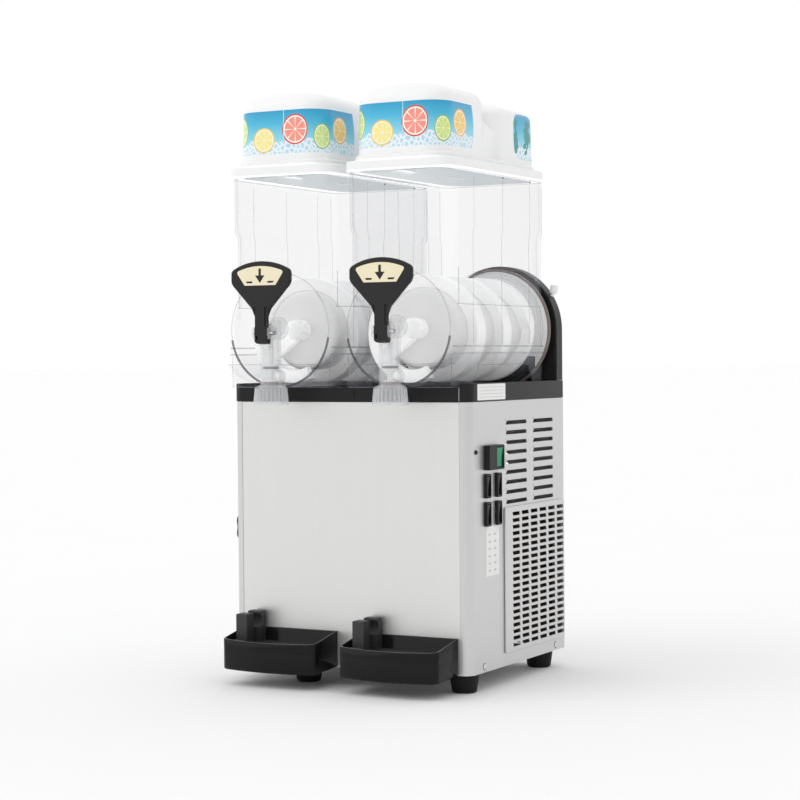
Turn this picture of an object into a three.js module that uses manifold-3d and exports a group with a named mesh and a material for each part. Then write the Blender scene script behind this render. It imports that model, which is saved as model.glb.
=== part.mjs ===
// Twin-bowl slush machine, millimetres, +Z up, front towards -Y.
// The cabinet's front plane is y = 0 while the pieces are shaped; the whole group is
// then moved so that the origin is the centre of the base of the bounding box.

import * as THREE from 'three';
import { mergeVertices } from 'three/addons/utils/BufferGeometryUtils.js';
import Module from 'manifold-3d';

const wasm = await Module();
wasm.setup();

// ---- driving dimensions ---------------------------------------------------------------

const GAP = 0.3; // clearance between pieces that touch
const SHEET = 1.5; // cabinet sheet thickness
const WALL = 3; // moulded wall thickness

const CABINET_HALF = 200; // half the cabinet's width
const CABINET_DEPTH = 330;
const FOOT_HEIGHT = 27;
const STEEL_TOP = 420; // top edge of the steel panels
const CORNER = 16; // front corner radius of the side panels

const DECK_LIP = 441; // front edge of the deck
const DECK_RIM = 447; // side and rear edge of the deck
const DECK_FLOOR = 436;

const BOWL_PITCH = 200; // distance between the two bowls
const AXIS_Z = 527; // height of the barrel, drum and auger axis
const BARREL_R = 85;
const BARREL_FRONT = -26;
const BARREL_REAR = 284;
const COLLAR_R = 96;
const COLLAR_REAR = 292;
const HOPPER_HALF = 88.5; // half width above the step
const HOPPER_LOW_HALF = 85; // half width below the step
const HOPPER_FRONT = -30;
const HOPPER_REAR = 295;
const BOWL_FACE = HOPPER_FRONT + HOPPER_HALF - HOPPER_LOW_HALF; // front wall below the step
const HOPPER_STEP = 668;
const HOPPER_TOP = 754.7;
const RAIL_LOW = 490;
const RAIL_HIGH = 501;

const DRUM_R = 60;
const AUGER_IN = 62.5;
const AUGER_OUT = 79.5;
const AUGER_PITCH = 88;
const AUGER_WIDTH = 30;
const AUGER_START = 14; // middle of the ribbon's first turn
const AUGER_END = 262;
const NUT_FRONT = 8;
const NUT_BACK = 26;
const HUB_REAR = 40;
const SHAFT_R = 6;

const HOUSING_FRONT = 306.3;
const HOUSING_R = 100;
const HOUSING_WALL = 4;
const VALLEY_Z = 556; // bottom of the valley between the two arches
const COVER_REAR = 396; // back of the gearmotor cover

const TAP_Y = -51; // vertical axis of the tap
const TUBE_R = 15.5;
const TUBE_BORE = 12.5;
const TUBE_TOP = 541;
const SPOUT_LOW = 416;
const SPOUT_TOP = 442;
const CHANNEL_Z = 458; // outlet from the barrel into the tap
const CHANNEL_R = 11;

const PIVOT_Y = -73; // handle pivot
const PIVOT_Z = 522;
const HANDLE_HALF = 50.5;
const FINGER = 22; // pivot to the middle of the lifting fingers

const LID_LOW = 755;
const LID_RIM = 770;
const LID_HALF = 89.5;
const LID_FRONT = -32;
const LID_REAR = 298;
const DOME_TOP = 888;
const REAR_DOME_TOP = 875;
const SADDLE_TOP = 828;
const SADDLE_Y = 148;

const TRAY_HALF = 80;
const TRAY_FRONT = -76;
const TRAY_BACK = -0.4;
const GRID_LOW = 59;
const GRID_TOP = 61;

const SIDE_STICKOUT = 10; // how far the knob and the main switch stand out

// ---- finishes -------------------------------------------------------------------------

const finish = (color, roughness, metalness, opacity = 1) => () =>
  new THREE.MeshStandardMaterial({ color, roughness, metalness, opacity, transparent: opacity < 1 });

const steel = finish(0xdedddb, 0.35, 0.9);
const innerSteel = finish(0xb4b6b8, 0.45, 0.8);
const blackPlastic = finish(0x262628, 0.45, 0);
const blackGloss = finish(0x303032, 0.25, 0);
const rubber = finish(0x141414, 0.8, 0);
const clearPlastic = finish(0xe8ebef, 0.08, 0, 0.35);
const whitePlastic = finish(0xf4f4f3, 0.35, 0);
const greyPlastic = finish(0xd2d1cd, 0.4, 0);
const brownRubber = finish(0x6b5a55, 0.7, 0);
const greenPlastic = finish(0x1c9a66, 0.3, 0);
const copper = finish(0xb4693c, 0.35, 0.9);
const blackSteel = finish(0x1c1d1f, 0.4, 0.5);

// ---- solids ---------------------------------------------------------------------------

// Merges shared corners, drops folded triangles and turns the faces outwards.
function solidOf(geometry) {
  const bare = geometry.clone();
  bare.deleteAttribute('normal');
  bare.deleteAttribute('uv');
  const merged = mergeVertices(bare, 1e-4);
  const p = merged.attributes.position.array;
  const old = merged.index.array;
  const corner = (i) => new THREE.Vector3().fromArray(p, 3 * i);
  const triangles = [];
  let volume = 0;
  for (let i = 0; i < old.length; i += 3) {
    const [a, b, c] = [old[i], old[i + 1], old[i + 2]];
    if (a === b || b === c || c === a) continue;
    triangles.push([a, b, c]);
    volume += corner(a).dot(corner(b).cross(corner(c)));
  }
  const facing = volume < 0 ? triangles.map(([a, b, c]) => [a, c, b]) : triangles;
  return new wasm.Manifold(new wasm.Mesh({
    numProp: 3,
    vertProperties: new Float32Array(p),
    triVerts: new Uint32Array(facing.flat()),
  }));
}

const join = (first, ...rest) => rest.reduce((whole, next) => whole.add(next), first);
const cut = (first, ...rest) => rest.reduce((whole, next) => whole.subtract(next), first);

function piece(name, solid, material) {
  const mesh = solid.getMesh();
  const geometry = new THREE.BufferGeometry();
  geometry.setAttribute('position', new THREE.BufferAttribute(mesh.vertProperties, 3));
  geometry.setIndex(new THREE.BufferAttribute(mesh.triVerts, 1));
  geometry.computeVertexNormals();
  const made = new THREE.Mesh(geometry, material());
  made.name = name;
  return made;
}

function at(object, x, y, z) {
  object.position.set(x, y, z);
  return object;
}

function block(x0, x1, y0, y1, z0, z1) {
  const geometry = new THREE.BoxGeometry(x1 - x0, y1 - y0, z1 - z0);
  geometry.translate((x0 + x1) / 2, (y0 + y1) / 2, (z0 + z1) / 2);
  return solidOf(geometry);
}

const AXES = {
  // where the outline's first axis, second axis and depth go
  x: [new THREE.Vector3(0, 1, 0), new THREE.Vector3(0, 0, 1), new THREE.Vector3(1, 0, 0)],
  y: [new THREE.Vector3(1, 0, 0), new THREE.Vector3(0, 0, 1), new THREE.Vector3(0, -1, 0)],
  z: [new THREE.Vector3(1, 0, 0), new THREE.Vector3(0, 1, 0), new THREE.Vector3(0, 0, 1)],
};

// An outline pushed from low to high along an axis; it is drawn in the other two axes.
function prism(shape, axis, low, high, curveSegments = 4) {
  const options = { depth: high - low, bevelEnabled: false, curveSegments };
  const geometry = new THREE.ExtrudeGeometry(shape, options);
  geometry.applyMatrix4(new THREE.Matrix4().makeBasis(...AXES[axis]));
  const start = axis === 'y' ? high : low;
  geometry.translate(axis === 'x' ? start : 0, axis === 'y' ? start : 0, axis === 'z' ? start : 0);
  return solidOf(geometry);
}

// A profile of [radius, height] turned round an axis.
function turned(profile, axis, segments = 16) {
  const points = profile.map(([r, h]) => new THREE.Vector2(r, h));
  const geometry = new THREE.LatheGeometry(points, segments);
  if (axis === 'z') geometry.rotateX(Math.PI / 2);
  if (axis === 'x') geometry.rotateZ(-Math.PI / 2);
  return solidOf(geometry);
}

const closed = (profile) => [...profile, profile[0]];
const rod = (r, low, high, axis, segments) =>
  turned([[0, low], [r, low], [r, high], [0, high]], axis, segments);
const ring = (inner, outer, low, high, axis, segments) =>
  turned(closed([[inner, low], [outer, low], [outer, high], [inner, high]]), axis, segments);

function outline(points) {
  return new THREE.Shape(points.map(([a, b]) => new THREE.Vector2(a, b)));
}

// Rounded rectangle with its own corner radius on the low and on the high side.
function roundedRect(x0, x1, y0, y1, rLow, rHigh = rLow) {
  const shape = new THREE.Shape();
  const quarter = Math.PI / 2;
  shape.moveTo(x0 + rLow, y0);
  shape.absarc(x1 - rLow, y0 + rLow, rLow, -quarter, 0, false);
  shape.absarc(x1 - rHigh, y1 - rHigh, rHigh, 0, quarter, false);
  shape.absarc(x0 + rHigh, y1 - rHigh, rHigh, quarter, 2 * quarter, false);
  shape.absarc(x0 + rLow, y0 + rLow, rLow, 2 * quarter, 3 * quarter, false);
  return shape;
}

// One level of a lofted dome: a rounded rectangle as a list of points.
function level(z, half, front, rear, radius, steps = 3) {
  const centres = [
    [half - radius, front + radius, -90],
    [half - radius, rear - radius, 0],
    [radius - half, rear - radius, 90],
    [radius - half, front + radius, 180],
  ];
  const points = [];
  for (const [x, y, start] of centres) {
    for (let i = 0; i <= steps; i++) {
      const a = THREE.MathUtils.degToRad(start + (90 * i) / steps);
      points.push([x + radius * Math.cos(a), y + radius * Math.sin(a), z]);
    }
  }
  return points;
}

// Skins rings that all have the same number of points, and closes both ends.
function loft(rings) {
  const count = rings[0].length;
  const middle = (points) => [0, 1, 2].map((k) => points.reduce((sum, p) => sum + p[k], 0) / count);
  const last = rings.length - 1;
  const points = [...rings.flat(), middle(rings[0]), middle(rings[last])];
  const index = [];
  for (let i = 0; i < count; i++) {
    const j = (i + 1) % count;
    for (let row = 0; row < last; row++) {
      const [a, b] = [row * count + i, row * count + j];
      index.push(a, b, b + count, a, b + count, a + count);
    }
    index.push(rings.length * count, j, i);
    index.push(rings.length * count + 1, last * count + i, last * count + j);
  }
  const geometry = new THREE.BufferGeometry();
  geometry.setAttribute('position', new THREE.Float32BufferAttribute(points.flat(), 3));
  geometry.setIndex(index);
  return solidOf(geometry);
}

// ---- cabinet --------------------------------------------------------------------------

const SLOT_ROWS = 9;
const SLOT_PITCH = 14.7;
const SLOT_TOP = 387;
const SLOT_COLUMNS = [[120.5, 194], [216.5, 290]];
const SLOT_HEIGHT = 7;

function louvreSlots(x0, x1) {
  const slots = [];
  for (const [y0, y1] of SLOT_COLUMNS) {
    for (let row = 0; row < SLOT_ROWS; row++) {
      const z = SLOT_TOP - row * SLOT_PITCH;
      const [low, high] = [z - SLOT_HEIGHT / 2, z + SLOT_HEIGHT / 2];
      const shape = outline([[y0 + 4, low], [y1, low], [y1 - 1, high], [y0, high]]);
      slots.push(prism(shape, 'x', x0, x1));
    }
  }
  return slots;
}

// Right-hand panel: flat side, rounded front corner. The left one is its mirror image.
function sidePanel() {
  const x = CABINET_HALF;
  const shape = new THREE.Shape();
  shape.moveTo(x, CABINET_DEPTH);
  shape.lineTo(x - SHEET, CABINET_DEPTH);
  shape.lineTo(x - SHEET, CORNER);
  shape.absarc(x - CORNER, CORNER, CORNER - SHEET, 0, -Math.PI / 2, true);
  shape.lineTo(x - CORNER, 0);
  shape.absarc(x - CORNER, CORNER, CORNER, -Math.PI / 2, 0, false);
  shape.closePath();
  const sheet = prism(shape, 'z', FOOT_HEIGHT + GAP, STEEL_TOP - GAP);
  return cut(sheet, ...louvreSlots(x - 5, x + 5));
}

const GRILLE = { y0: 112, y1: 325, z0: 46, z1: 262, thick: 3 };
const INTAKE = { y0: 132, y1: 322, z0: 50, z1: 256 }; // window in the side panel behind the grille
const GRILLE_SLOTS = {
  columns: 2, rows: 21, width: 90, height: 5.6, slant: 2, y: 180.5, pitchY: 94, z: 56, pitchZ: 9.75,
};

function grilleSlot(column, row) {
  const { width, height, slant, y, pitchY, z, pitchZ } = GRILLE_SLOTS;
  const [left, right] = [y + column * pitchY - width / 2, y + column * pitchY + width / 2];
  const [low, high] = [z + row * pitchZ - height / 2, z + row * pitchZ + height / 2];
  const shape = outline([[left + slant, low], [right, low], [right - slant, high], [left, high]]);
  return prism(shape, 'x', CABINET_HALF - 1, CABINET_HALF + 2 * GRILLE.thick);
}

function condenserGrille() {
  const x = CABINET_HALF + GAP;
  const plate = block(x, x + GRILLE.thick, GRILLE.y0, GRILLE.y1, GRILLE.z0, GRILLE.z1);
  const slots = [];
  for (let column = 0; column < GRILLE_SLOTS.columns; column++) {
    for (let row = 0; row < GRILLE_SLOTS.rows; row++) slots.push(grilleSlot(column, row));
  }
  return cut(plate, ...slots);
}

function basePlate() {
  const inner = CABINET_HALF - SHEET - GAP;
  const shape = roundedRect(-inner, inner, SHEET + GAP, CABINET_DEPTH - 1, CORNER, 2);
  return prism(shape, 'z', FOOT_HEIGHT + GAP, FOOT_HEIGHT + 2 + GAP);
}

function frontPanel() {
  const half = CABINET_HALF - CORNER - GAP;
  return block(-half, half, 0, SHEET, FOOT_HEIGHT + GAP, STEEL_TOP - GAP);
}

const REAR_VENTS = { rows: 6, centres: [-70, 70], half: 36 };
const REAR_FACE = CABINET_DEPTH - 2; // inside face of the rear panel
const INLET = { x: -120, z: 90, flange: [24, 14], body: [17, 10], socket: [12, 7], deep: 28 };

function rearPanel() {
  const half = CABINET_HALF - SHEET - GAP;
  const [y0, y1] = [REAR_FACE - 2, REAR_FACE + 4];
  const low = FOOT_HEIGHT + 2.5 + 2 * GAP;
  const sheet = block(-half, half, REAR_FACE, REAR_FACE + SHEET, low, STEEL_TOP - GAP);
  const vents = [inletBlock([18, 11], y0, y1)];
  for (const centre of REAR_VENTS.centres) {
    for (let row = 0; row < REAR_VENTS.rows; row++) {
      const z = SLOT_TOP - row * SLOT_PITCH;
      const [x0, x1] = [centre - REAR_VENTS.half, centre + REAR_VENTS.half];
      vents.push(block(x0, x1, y0, y1, z - SLOT_HEIGHT / 2, z + SLOT_HEIGHT / 2));
    }
  }
  return cut(sheet, ...vents);
}

function inletBlock([half, high], y0, y1) {
  const { x, z } = INLET;
  return block(x - half, x + half, y0, y1, z - high, z + high);
}

function powerInlet() {
  const y = REAR_FACE + SHEET + GAP;
  const flange = inletBlock(INLET.flange, y, y + 3);
  const body = inletBlock(INLET.body, y - INLET.deep, y + 1);
  return cut(join(flange, body), inletBlock(INLET.socket, y - 18, y + 4));
}

function foot() {
  const top = FOOT_HEIGHT;
  return turned([[0, 0], [17, 0], [18.5, 2], [22, top - 1], [22, top], [0, top]], 'z', 16);
}

const DECK_WALL = 3;
const DECK_MARGIN = 1; // how far the deck stands out past the panels
const PIPE_HOLE = { half: 20, y0: 311, y1: 324 };

function topDeck() {
  const half = CABINET_HALF + DECK_MARGIN;
  const [front, rear] = [-DECK_MARGIN, CABINET_DEPTH + DECK_MARGIN];
  const outer = prism(roundedRect(-half, half, front, rear, CORNER + 1, 4), 'z', STEEL_TOP, DECK_RIM);
  const [inner, t] = [half - DECK_WALL, DECK_WALL];
  const underShape = roundedRect(-inner, inner, front + t, rear - t, CORNER - 2, 2);
  const under = prism(underShape, 'z', STEEL_TOP - 1, DECK_FLOOR - 4);
  const well = block(-196.5, 196.5, 3, CABINET_DEPTH - 3.5, DECK_FLOOR, DECK_RIM + 1);
  const lip = block(-186.5, 186.5, front - 1, 4, DECK_LIP, DECK_RIM + 1);
  const { half: hole, y0, y1 } = PIPE_HOLE;
  const pipes = bothSides((x) => block(x - hole, x + hole, y0, y1, 425, DECK_FLOOR + 4));
  return cut(outer, under, well, lip, ...pipes);
}

// ---- rear housing ---------------------------------------------------------------------

const bothSides = (make) => [make(-BOWL_PITCH / 2), make(BOWL_PITCH / 2)];

// Two arches side by side on a straight-sided base.
function doubleArch(radius, half, low, valley) {
  const shape = new THREE.Shape();
  const start = Math.acos(Math.min(1, (half - BOWL_PITCH / 2) / radius));
  const inner = Math.asin((valley - AXIS_Z) / radius);
  shape.moveTo(-half, low);
  shape.lineTo(half, low);
  shape.absarc(BOWL_PITCH / 2, AXIS_Z, radius, start, Math.PI - inner, false);
  shape.absarc(-BOWL_PITCH / 2, AXIS_Z, radius, inner, Math.PI - start, false);
  shape.closePath();
  return shape;
}

function rearHousing() {
  const [t, low] = [HOUSING_WALL, DECK_RIM + GAP];
  const outerShape = doubleArch(HOUSING_R, 2 * HOUSING_R, low, VALLEY_Z);
  const innerShape = doubleArch(HOUSING_R - t, 2 * HOUSING_R - t, low - 1, VALLEY_Z - t);
  const outer = prism(outerShape, 'y', HOUSING_FRONT, CABINET_DEPTH, 10);
  const hollow = prism(innerShape, 'y', HOUSING_FRONT + t, CABINET_DEPTH + 1, 10);
  const bore = rod(SHAFT_R + 2, HOUSING_FRONT - 1, HOUSING_FRONT + t + 2, 'y', 12);
  return cut(outer, hollow, ...bothSides((x) => bore.translate([x, 0, AXIS_Z])));
}

const COVER_VENTS = { rows: 5, low: 490, pitch: 16, high: 7, half: 30 };

function rearCover() {
  const t = HOUSING_WALL + GAP;
  const [y0, y1] = [CABINET_DEPTH - 4, CABINET_DEPTH - 1];
  const flat = doubleArch(HOUSING_R - t, 2 * HOUSING_R - t, DECK_RIM + 1, VALLEY_Z - t);
  const plate = prism(flat, 'y', y0, y1, 10);
  const bulge = prism(doubleArch(60, 160, 462, 540), 'y', y1 - 1, COVER_REAR, 7);
  const inside = prism(doubleArch(57, 157, 465, 537), 'y', y0 - 1, COVER_REAR - WALL, 7);
  const { rows, low, pitch, high, half } = COVER_VENTS;
  const vents = [];
  for (let row = 0; row < rows; row++) {
    const z = low + row * pitch;
    vents.push(...bothSides((x) => block(x - half, x + half, COVER_REAR - 6, COVER_REAR + 1, z, z + high)));
  }
  return cut(join(plate, bulge), inside, ...vents);
}

function coverScrew() {
  return turned([[0, 0], [3.4, 0], [3.4, 4], [5.5, 5], [6.2, 17], [5.4, 18], [0, 18]], 'z', 10);
}

// ---- cooling and drive ----------------------------------------------------------------

function compressor() {
  const can = turned([[0, 0], [44, 0], [52, 10], [54, 38], [54, 44], [52, 70], [42, 96], [0, 108]], 'z');
  const plate = prism(roundedRect(-66, 66, -48, 48, 10), 'z', -6, 1);
  return join(can, plate);
}

const FINS = { count: 22, pitch: 8, thick: 3, root: 6, deep: 28, high: 190 };

function condenser() {
  const { count, pitch, thick, root, deep, high } = FINS;
  const end = (count - 1) * pitch + thick;
  const points = [[0, end], [0, 0]];
  for (let i = 0; i < count; i++) {
    const y = i * pitch;
    points.push([root, y], [deep, y], [deep, y + thick], [root, y + thick]);
  }
  return prism(outline(points.filter(([x, y]) => x !== root || (y !== 0 && y !== end))), 'z', 0, high);
}

const MOTOR_DROP = 123; // from the fan's axis down to the base plate

function fanMotor() {
  const can = turned([[0, 0], [30, 0], [33, 4], [33, 44], [28, 50], [0, 50]], 'x', 14);
  const stand = block(8, 40, -20, 20, 3 - MOTOR_DROP, -25);
  const base = block(4, 44, -30, 30, -MOTOR_DROP, 5 - MOTOR_DROP);
  return join(can, stand, base);
}

const FAN = { blades: 5, hub: 18, tip: 84, half: 17, width: 20, pitch: 28 };

function fanBlade() {
  const { blades, hub, tip, half, width, pitch } = FAN;
  const blade = block(-1, 1, -half, half, hub - 6, tip).rotate([0, 0, pitch]).translate([width / 2, 0, 0]);
  const all = [];
  for (let i = 0; i < blades; i++) all.push(blade.rotate([(360 * i) / blades, 0, 0]));
  return join(rod(hub, 0, width, 'x', 12), ...all);
}

function gearmotor() {
  const y = HOUSING_FRONT + 4 + GAP;
  const gearbox = prism(roundedRect(-36, 36, -36, 36, 8), 'y', y + 2, y + 34, 3);
  const motor = turned([[0, y + 33], [31, y + 33], [31, y + 74], [26, y + 78], [0, y + 78]], 'y', 14);
  const nose = rod(12, y, y + 3, 'y', 12);
  return cut(join(gearbox, motor, nose), rod(SHAFT_R + 0.2, y - 1, y + 12, 'y', 12));
}

function evaporator() {
  const rear = HOUSING_FRONT - GAP;
  const front = HUB_REAR + 3;
  return turned(closed([
    [9, front], [50, front], [DRUM_R, front + 10], [DRUM_R, rear - 8], [90, rear - 8], [90, rear],
    [DRUM_R - 2, rear], [DRUM_R - 2, front + 11], [49, front + 2], [9, front + 2],
  ]), 'y', 24);
}

function gasket() {
  const [front, rear] = [COLLAR_REAR + GAP, HOUSING_FRONT - 8 - 2 * GAP];
  const body = ring(82.5, 95, front, rear, 'y', 24).translate([0, 0, AXIS_Z]);
  return cut(body, block(-100, 100, 280, 310, 400, DECK_LIP + GAP));
}

// ---- auger ----------------------------------------------------------------------------

function ribbon(inner, outer, start, end, width, pitch) {
  const steps = Math.ceil(((end - start) / pitch) * 14);
  const sections = [];
  for (let i = 0; i <= steps; i++) {
    const y = end - ((end - start) * i) / steps;
    const a = (2 * Math.PI * (end - y)) / pitch;
    const spot = (r, dy) => [r * Math.cos(a), y + dy, r * Math.sin(a)];
    const w = width / 2;
    sections.push([spot(inner, -w * 0.6), spot(outer, -w), spot(outer, w), spot(inner, w * 0.6)]);
  }
  return loft(sections);
}

// One spiral ribbon, held at the front by an arm from the hub and at the back by a ring.
function auger() {
  const helix = ribbon(AUGER_IN, AUGER_OUT, AUGER_START, AUGER_END, AUGER_WIDTH, AUGER_PITCH);
  const hub = ring(SHAFT_R + GAP, 15, NUT_BACK + GAP, HUB_REAR, 'y', 12);
  const armY = (NUT_BACK + HUB_REAR) / 2;
  const turn = (360 * (AUGER_END - armY)) / AUGER_PITCH;
  const arm = block(12, AUGER_OUT - 2, armY - 5, armY + 5, -12, 12).rotate([0, -turn, 0]);
  const rearRing = ring(AUGER_IN, AUGER_OUT, AUGER_END - 4, AUGER_END + 8, 'y', 24);
  return join(helix, hub, arm, rearRing);
}

function augerShaft() {
  return rod(SHAFT_R, NUT_BACK - 6, HOUSING_FRONT + 14, 'y', 12);
}

function augerNut() {
  const [front, back] = [NUT_FRONT, NUT_BACK];
  const cap = turned([
    [0, front], [6, front + 0.8], [11, front + 3.5], [14.5, front + 8], [15.5, front + 12],
    [15.5, back], [0, back],
  ], 'y', 16);
  return cut(cap, rod(SHAFT_R + GAP, back - 6 - GAP, back + 1, 'y', 12));
}

// ---- bowl -----------------------------------------------------------------------------

function hopper(inset, low, high, half) {
  const shape = roundedRect(
    -half + inset, half - inset, HOPPER_FRONT + (HOPPER_HALF - half) + inset,
    HOPPER_REAR - (HOPPER_HALF - half) - inset, 30 - inset, 20 - inset,
  );
  return prism(shape, 'z', low, high, 4);
}

function skirt() {
  const [half, rear] = [HOPPER_LOW_HALF, BARREL_REAR];
  const front = BARREL_FRONT + 2;
  const outer = block(-half, half, front, rear, DECK_LIP + GAP, AXIS_Z);
  const inner = block(-half + WALL, half - WALL, front + WALL, rear + 1, 400, RAIL_LOW + 1);
  const opening = prism(outline([[30, 430], [261, 430], [238.5, 474.5], [64, 474.5]]), 'x', -120, 120);
  return cut(outer, inner, opening, barrelRod(BARREL_R - 0.5, front - 5, rear + 5));
}

const barrelRod = (r, low, high) => rod(r, low, high, 'y', 28).translate([0, 0, AXIS_Z]);

function collar() {
  const body = ring(82, COLLAR_R, BARREL_REAR - 2, COLLAR_REAR, 'y', 28).translate([0, 0, AXIS_Z]);
  return cut(body, block(-100, 100, 270, 300, 400, DECK_LIP + GAP));
}

// Shallow curved apron under the barrel's front disc that leads drips to the spout.
function apron() {
  const rim = (z, half, front) => {
    const points = [];
    for (let i = 0; i <= 8; i++) {
      const a = Math.PI * (1 + i / 8);
      points.push([half * Math.cos(a), -24.5 + front * Math.sin(a), z]);
    }
    return points;
  };
  const outer = loft([rim(449, 52, 9), rim(460, 78, 15), rim(476, 91, 21)]);
  const inner = loft([rim(451, 50, 7), rim(461, 76, 13), rim(477, 89.5, 19)]);
  const tube = rod(TUBE_R + GAP, 400, 500, 'z', 16).translate([0, TAP_Y, 0]);
  const channel = rod(CHANNEL_R + GAP, TAP_Y, BOWL_FACE, 'y', 12).translate([0, 0, CHANNEL_Z]);
  return cut(outer, inner, tube, channel);
}

function bowl() {
  const outer = join(
    hopper(0, HOPPER_STEP, HOPPER_TOP, HOPPER_HALF),
    hopper(0, AXIS_Z, HOPPER_STEP + 0.5, HOPPER_LOW_HALF),
    barrelRod(BARREL_R, BARREL_FRONT, BARREL_REAR),
  );
  const inner = join(
    hopper(WALL, HOPPER_STEP + WALL, HOPPER_TOP + 1, HOPPER_HALF),
    hopper(WALL, AXIS_Z, HOPPER_STEP + WALL + 0.5, HOPPER_LOW_HALF),
    barrelRod(BARREL_R - WALL, BARREL_FRONT + WALL, BARREL_REAR + 20),
  );
  const shell = cut(outer, inner);
  const rails = cut(
    block(-88, 88, BARREL_FRONT + 1, BARREL_REAR, RAIL_LOW, RAIL_HIGH),
    barrelRod(BARREL_R - 1, BARREL_FRONT - 5, BARREL_REAR + 5),
  );
  const outlet = rod(8, BARREL_FRONT - 4, BARREL_FRONT + 6, 'y', 10).translate([0, 0, CHANNEL_Z]);
  return cut(join(shell, rails, skirt(), collar(), apron()), outlet);
}

// ---- tap ------------------------------------------------------------------------------

function tapBody() {
  const tube = turned(closed([
    [26.5, SPOUT_LOW], [23.5, SPOUT_TOP], [TUBE_R, SPOUT_TOP + 4], [TUBE_R, TUBE_TOP],
    [TUBE_BORE, TUBE_TOP], [TUBE_BORE, SPOUT_TOP + 3], [21, SPOUT_TOP - 3], [23, SPOUT_LOW],
  ]), 'z', 16).translate([0, TAP_Y, 0]);
  const back = BOWL_FACE - GAP;
  const along = (r, z, low = TAP_Y + 14) => rod(r, low, back, 'y', 12).translate([0, 0, z]);
  const [ear0, ear1] = [PIVOT_Y - 6, TAP_Y - 9];
  const ears = [-1, 1].map((hand) => block(11.4 * hand, 15 * hand, ear0, ear1, PIVOT_Z - 9, PIVOT_Z + 9));
  const whole = join(tube, along(12, 529), along(17, 529, -33), along(CHANNEL_R, CHANNEL_Z), ...ears);
  const slot = block(-11.4, 11.4, PIVOT_Y - 8, TAP_Y, 500, TUBE_TOP + 1);
  const pinHole = rod(2.7, -20, 20, 'x', 10).translate([0, PIVOT_Y, PIVOT_Z]);
  const channel = rod(8, TAP_Y + 8, back + 1, 'y', 10).translate([0, 0, CHANNEL_Z]);
  return cut(whole, slot, pinHole, channel);
}

function tapPlunger() {
  const low = PIVOT_Z + 3 + GAP;
  return turned([
    [0, 445], [11.8, 445], [11.8, 450], [4, 450], [4, 466], [12, 466], [12, 476], [4, 476],
    [4, low], [11, low], [11, low + 6], [5, low + 6], [5, low + 11], [0, low + 11],
  ], 'z', 12).translate([0, TAP_Y, 0]);
}

function handleOutline() {
  const shape = new THREE.Shape();
  shape.moveTo(-10.5, PIVOT_Z + 4);
  shape.lineTo(10.5, PIVOT_Z + 4);
  shape.lineTo(10.5, 558);
  shape.quadraticCurveTo(11, 566, 20, 572);
  shape.lineTo(44, 586);
  shape.quadraticCurveTo(HANDLE_HALF, 597, HANDLE_HALF, 604);
  shape.quadraticCurveTo(HANDLE_HALF, 610, 44, 613);
  shape.quadraticCurveTo(0, 640, -44, 613);
  shape.quadraticCurveTo(-HANDLE_HALF, 610, -HANDLE_HALF, 604);
  shape.quadraticCurveTo(-HANDLE_HALF, 597, -44, 586);
  shape.lineTo(-20, 572);
  shape.quadraticCurveTo(-11, 566, -10.5, 558);
  shape.closePath();
  return shape;
}

function tapHandle() {
  const front = PIVOT_Y - 6;
  const blade = prism(handleOutline(), 'y', front, front + 8, 5);
  const neck = block(-10.5, 10.5, front, PIVOT_Y + 5, PIVOT_Z, 568);
  const hub = block(-10.5, 10.5, PIVOT_Y - 6, PIVOT_Y + 5, PIVOT_Z - 14, PIVOT_Z + 8);
  const fingers = [-1, 1].map((side) =>
    block(5.2 * side, 9.2 * side, PIVOT_Y, PIVOT_Y + FINGER + 1, PIVOT_Z - 3, PIVOT_Z + 3));
  const hole = rod(2.7, -20, 20, 'x', 10).translate([0, PIVOT_Y, PIVOT_Z]);
  return cut(join(blade, neck, hub, ...fingers), hole);
}

function handlePin() {
  return rod(2.4, -17, 17, 'x', 10);
}

// ---- lid ------------------------------------------------------------------------------

const RIM_R = 22;
const DOME_HALF = 76;

// A rounded dome as [half width at the height, corner radius] from the bottom up.
function dome(inset, front, rear, top, low = LID_RIM - 2) {
  const crown = top - inset;
  const ring = (z, half, radius) => {
    const back = DOME_HALF - half + inset;
    return level(z, half - inset, front + back, rear - back, radius);
  };
  return loft([
    ring(low, DOME_HALF, 30), ring(782, 73.5, 30), ring(crown - 30, 72.5, 30),
    ring(crown - 13, 66, 30), ring(crown - 4, 56, 28), ring(crown, 40, 24),
  ]);
}

// Both domes with the bridge between them.
function domes(inset, low) {
  const overlap = 8;
  const bridge = 73 - inset;
  return join(
    dome(inset, LID_FRONT + 3, SADDLE_Y + overlap, DOME_TOP, low),
    dome(inset, SADDLE_Y - overlap, LID_REAR, REAR_DOME_TOP, low),
    block(-bridge, bridge, SADDLE_Y - 25, SADDLE_Y + 25, low, SADDLE_TOP - inset),
  );
}

function lid() {
  const rimShape = roundedRect(-LID_HALF, LID_HALF, LID_FRONT, LID_REAR, RIM_R);
  const wellShape = roundedRect(-73, 73, LID_FRONT + 6, LID_REAR - 3, 28);
  const outer = join(prism(rimShape, 'z', LID_LOW, LID_RIM), domes(0, LID_RIM - 2));
  const inner = join(prism(wellShape, 'z', LID_LOW - 1, LID_RIM - 3), domes(WALL, LID_RIM - 4));
  return cut(outer, inner);
}

// ---- drip tray ------------------------------------------------------------------------

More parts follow.
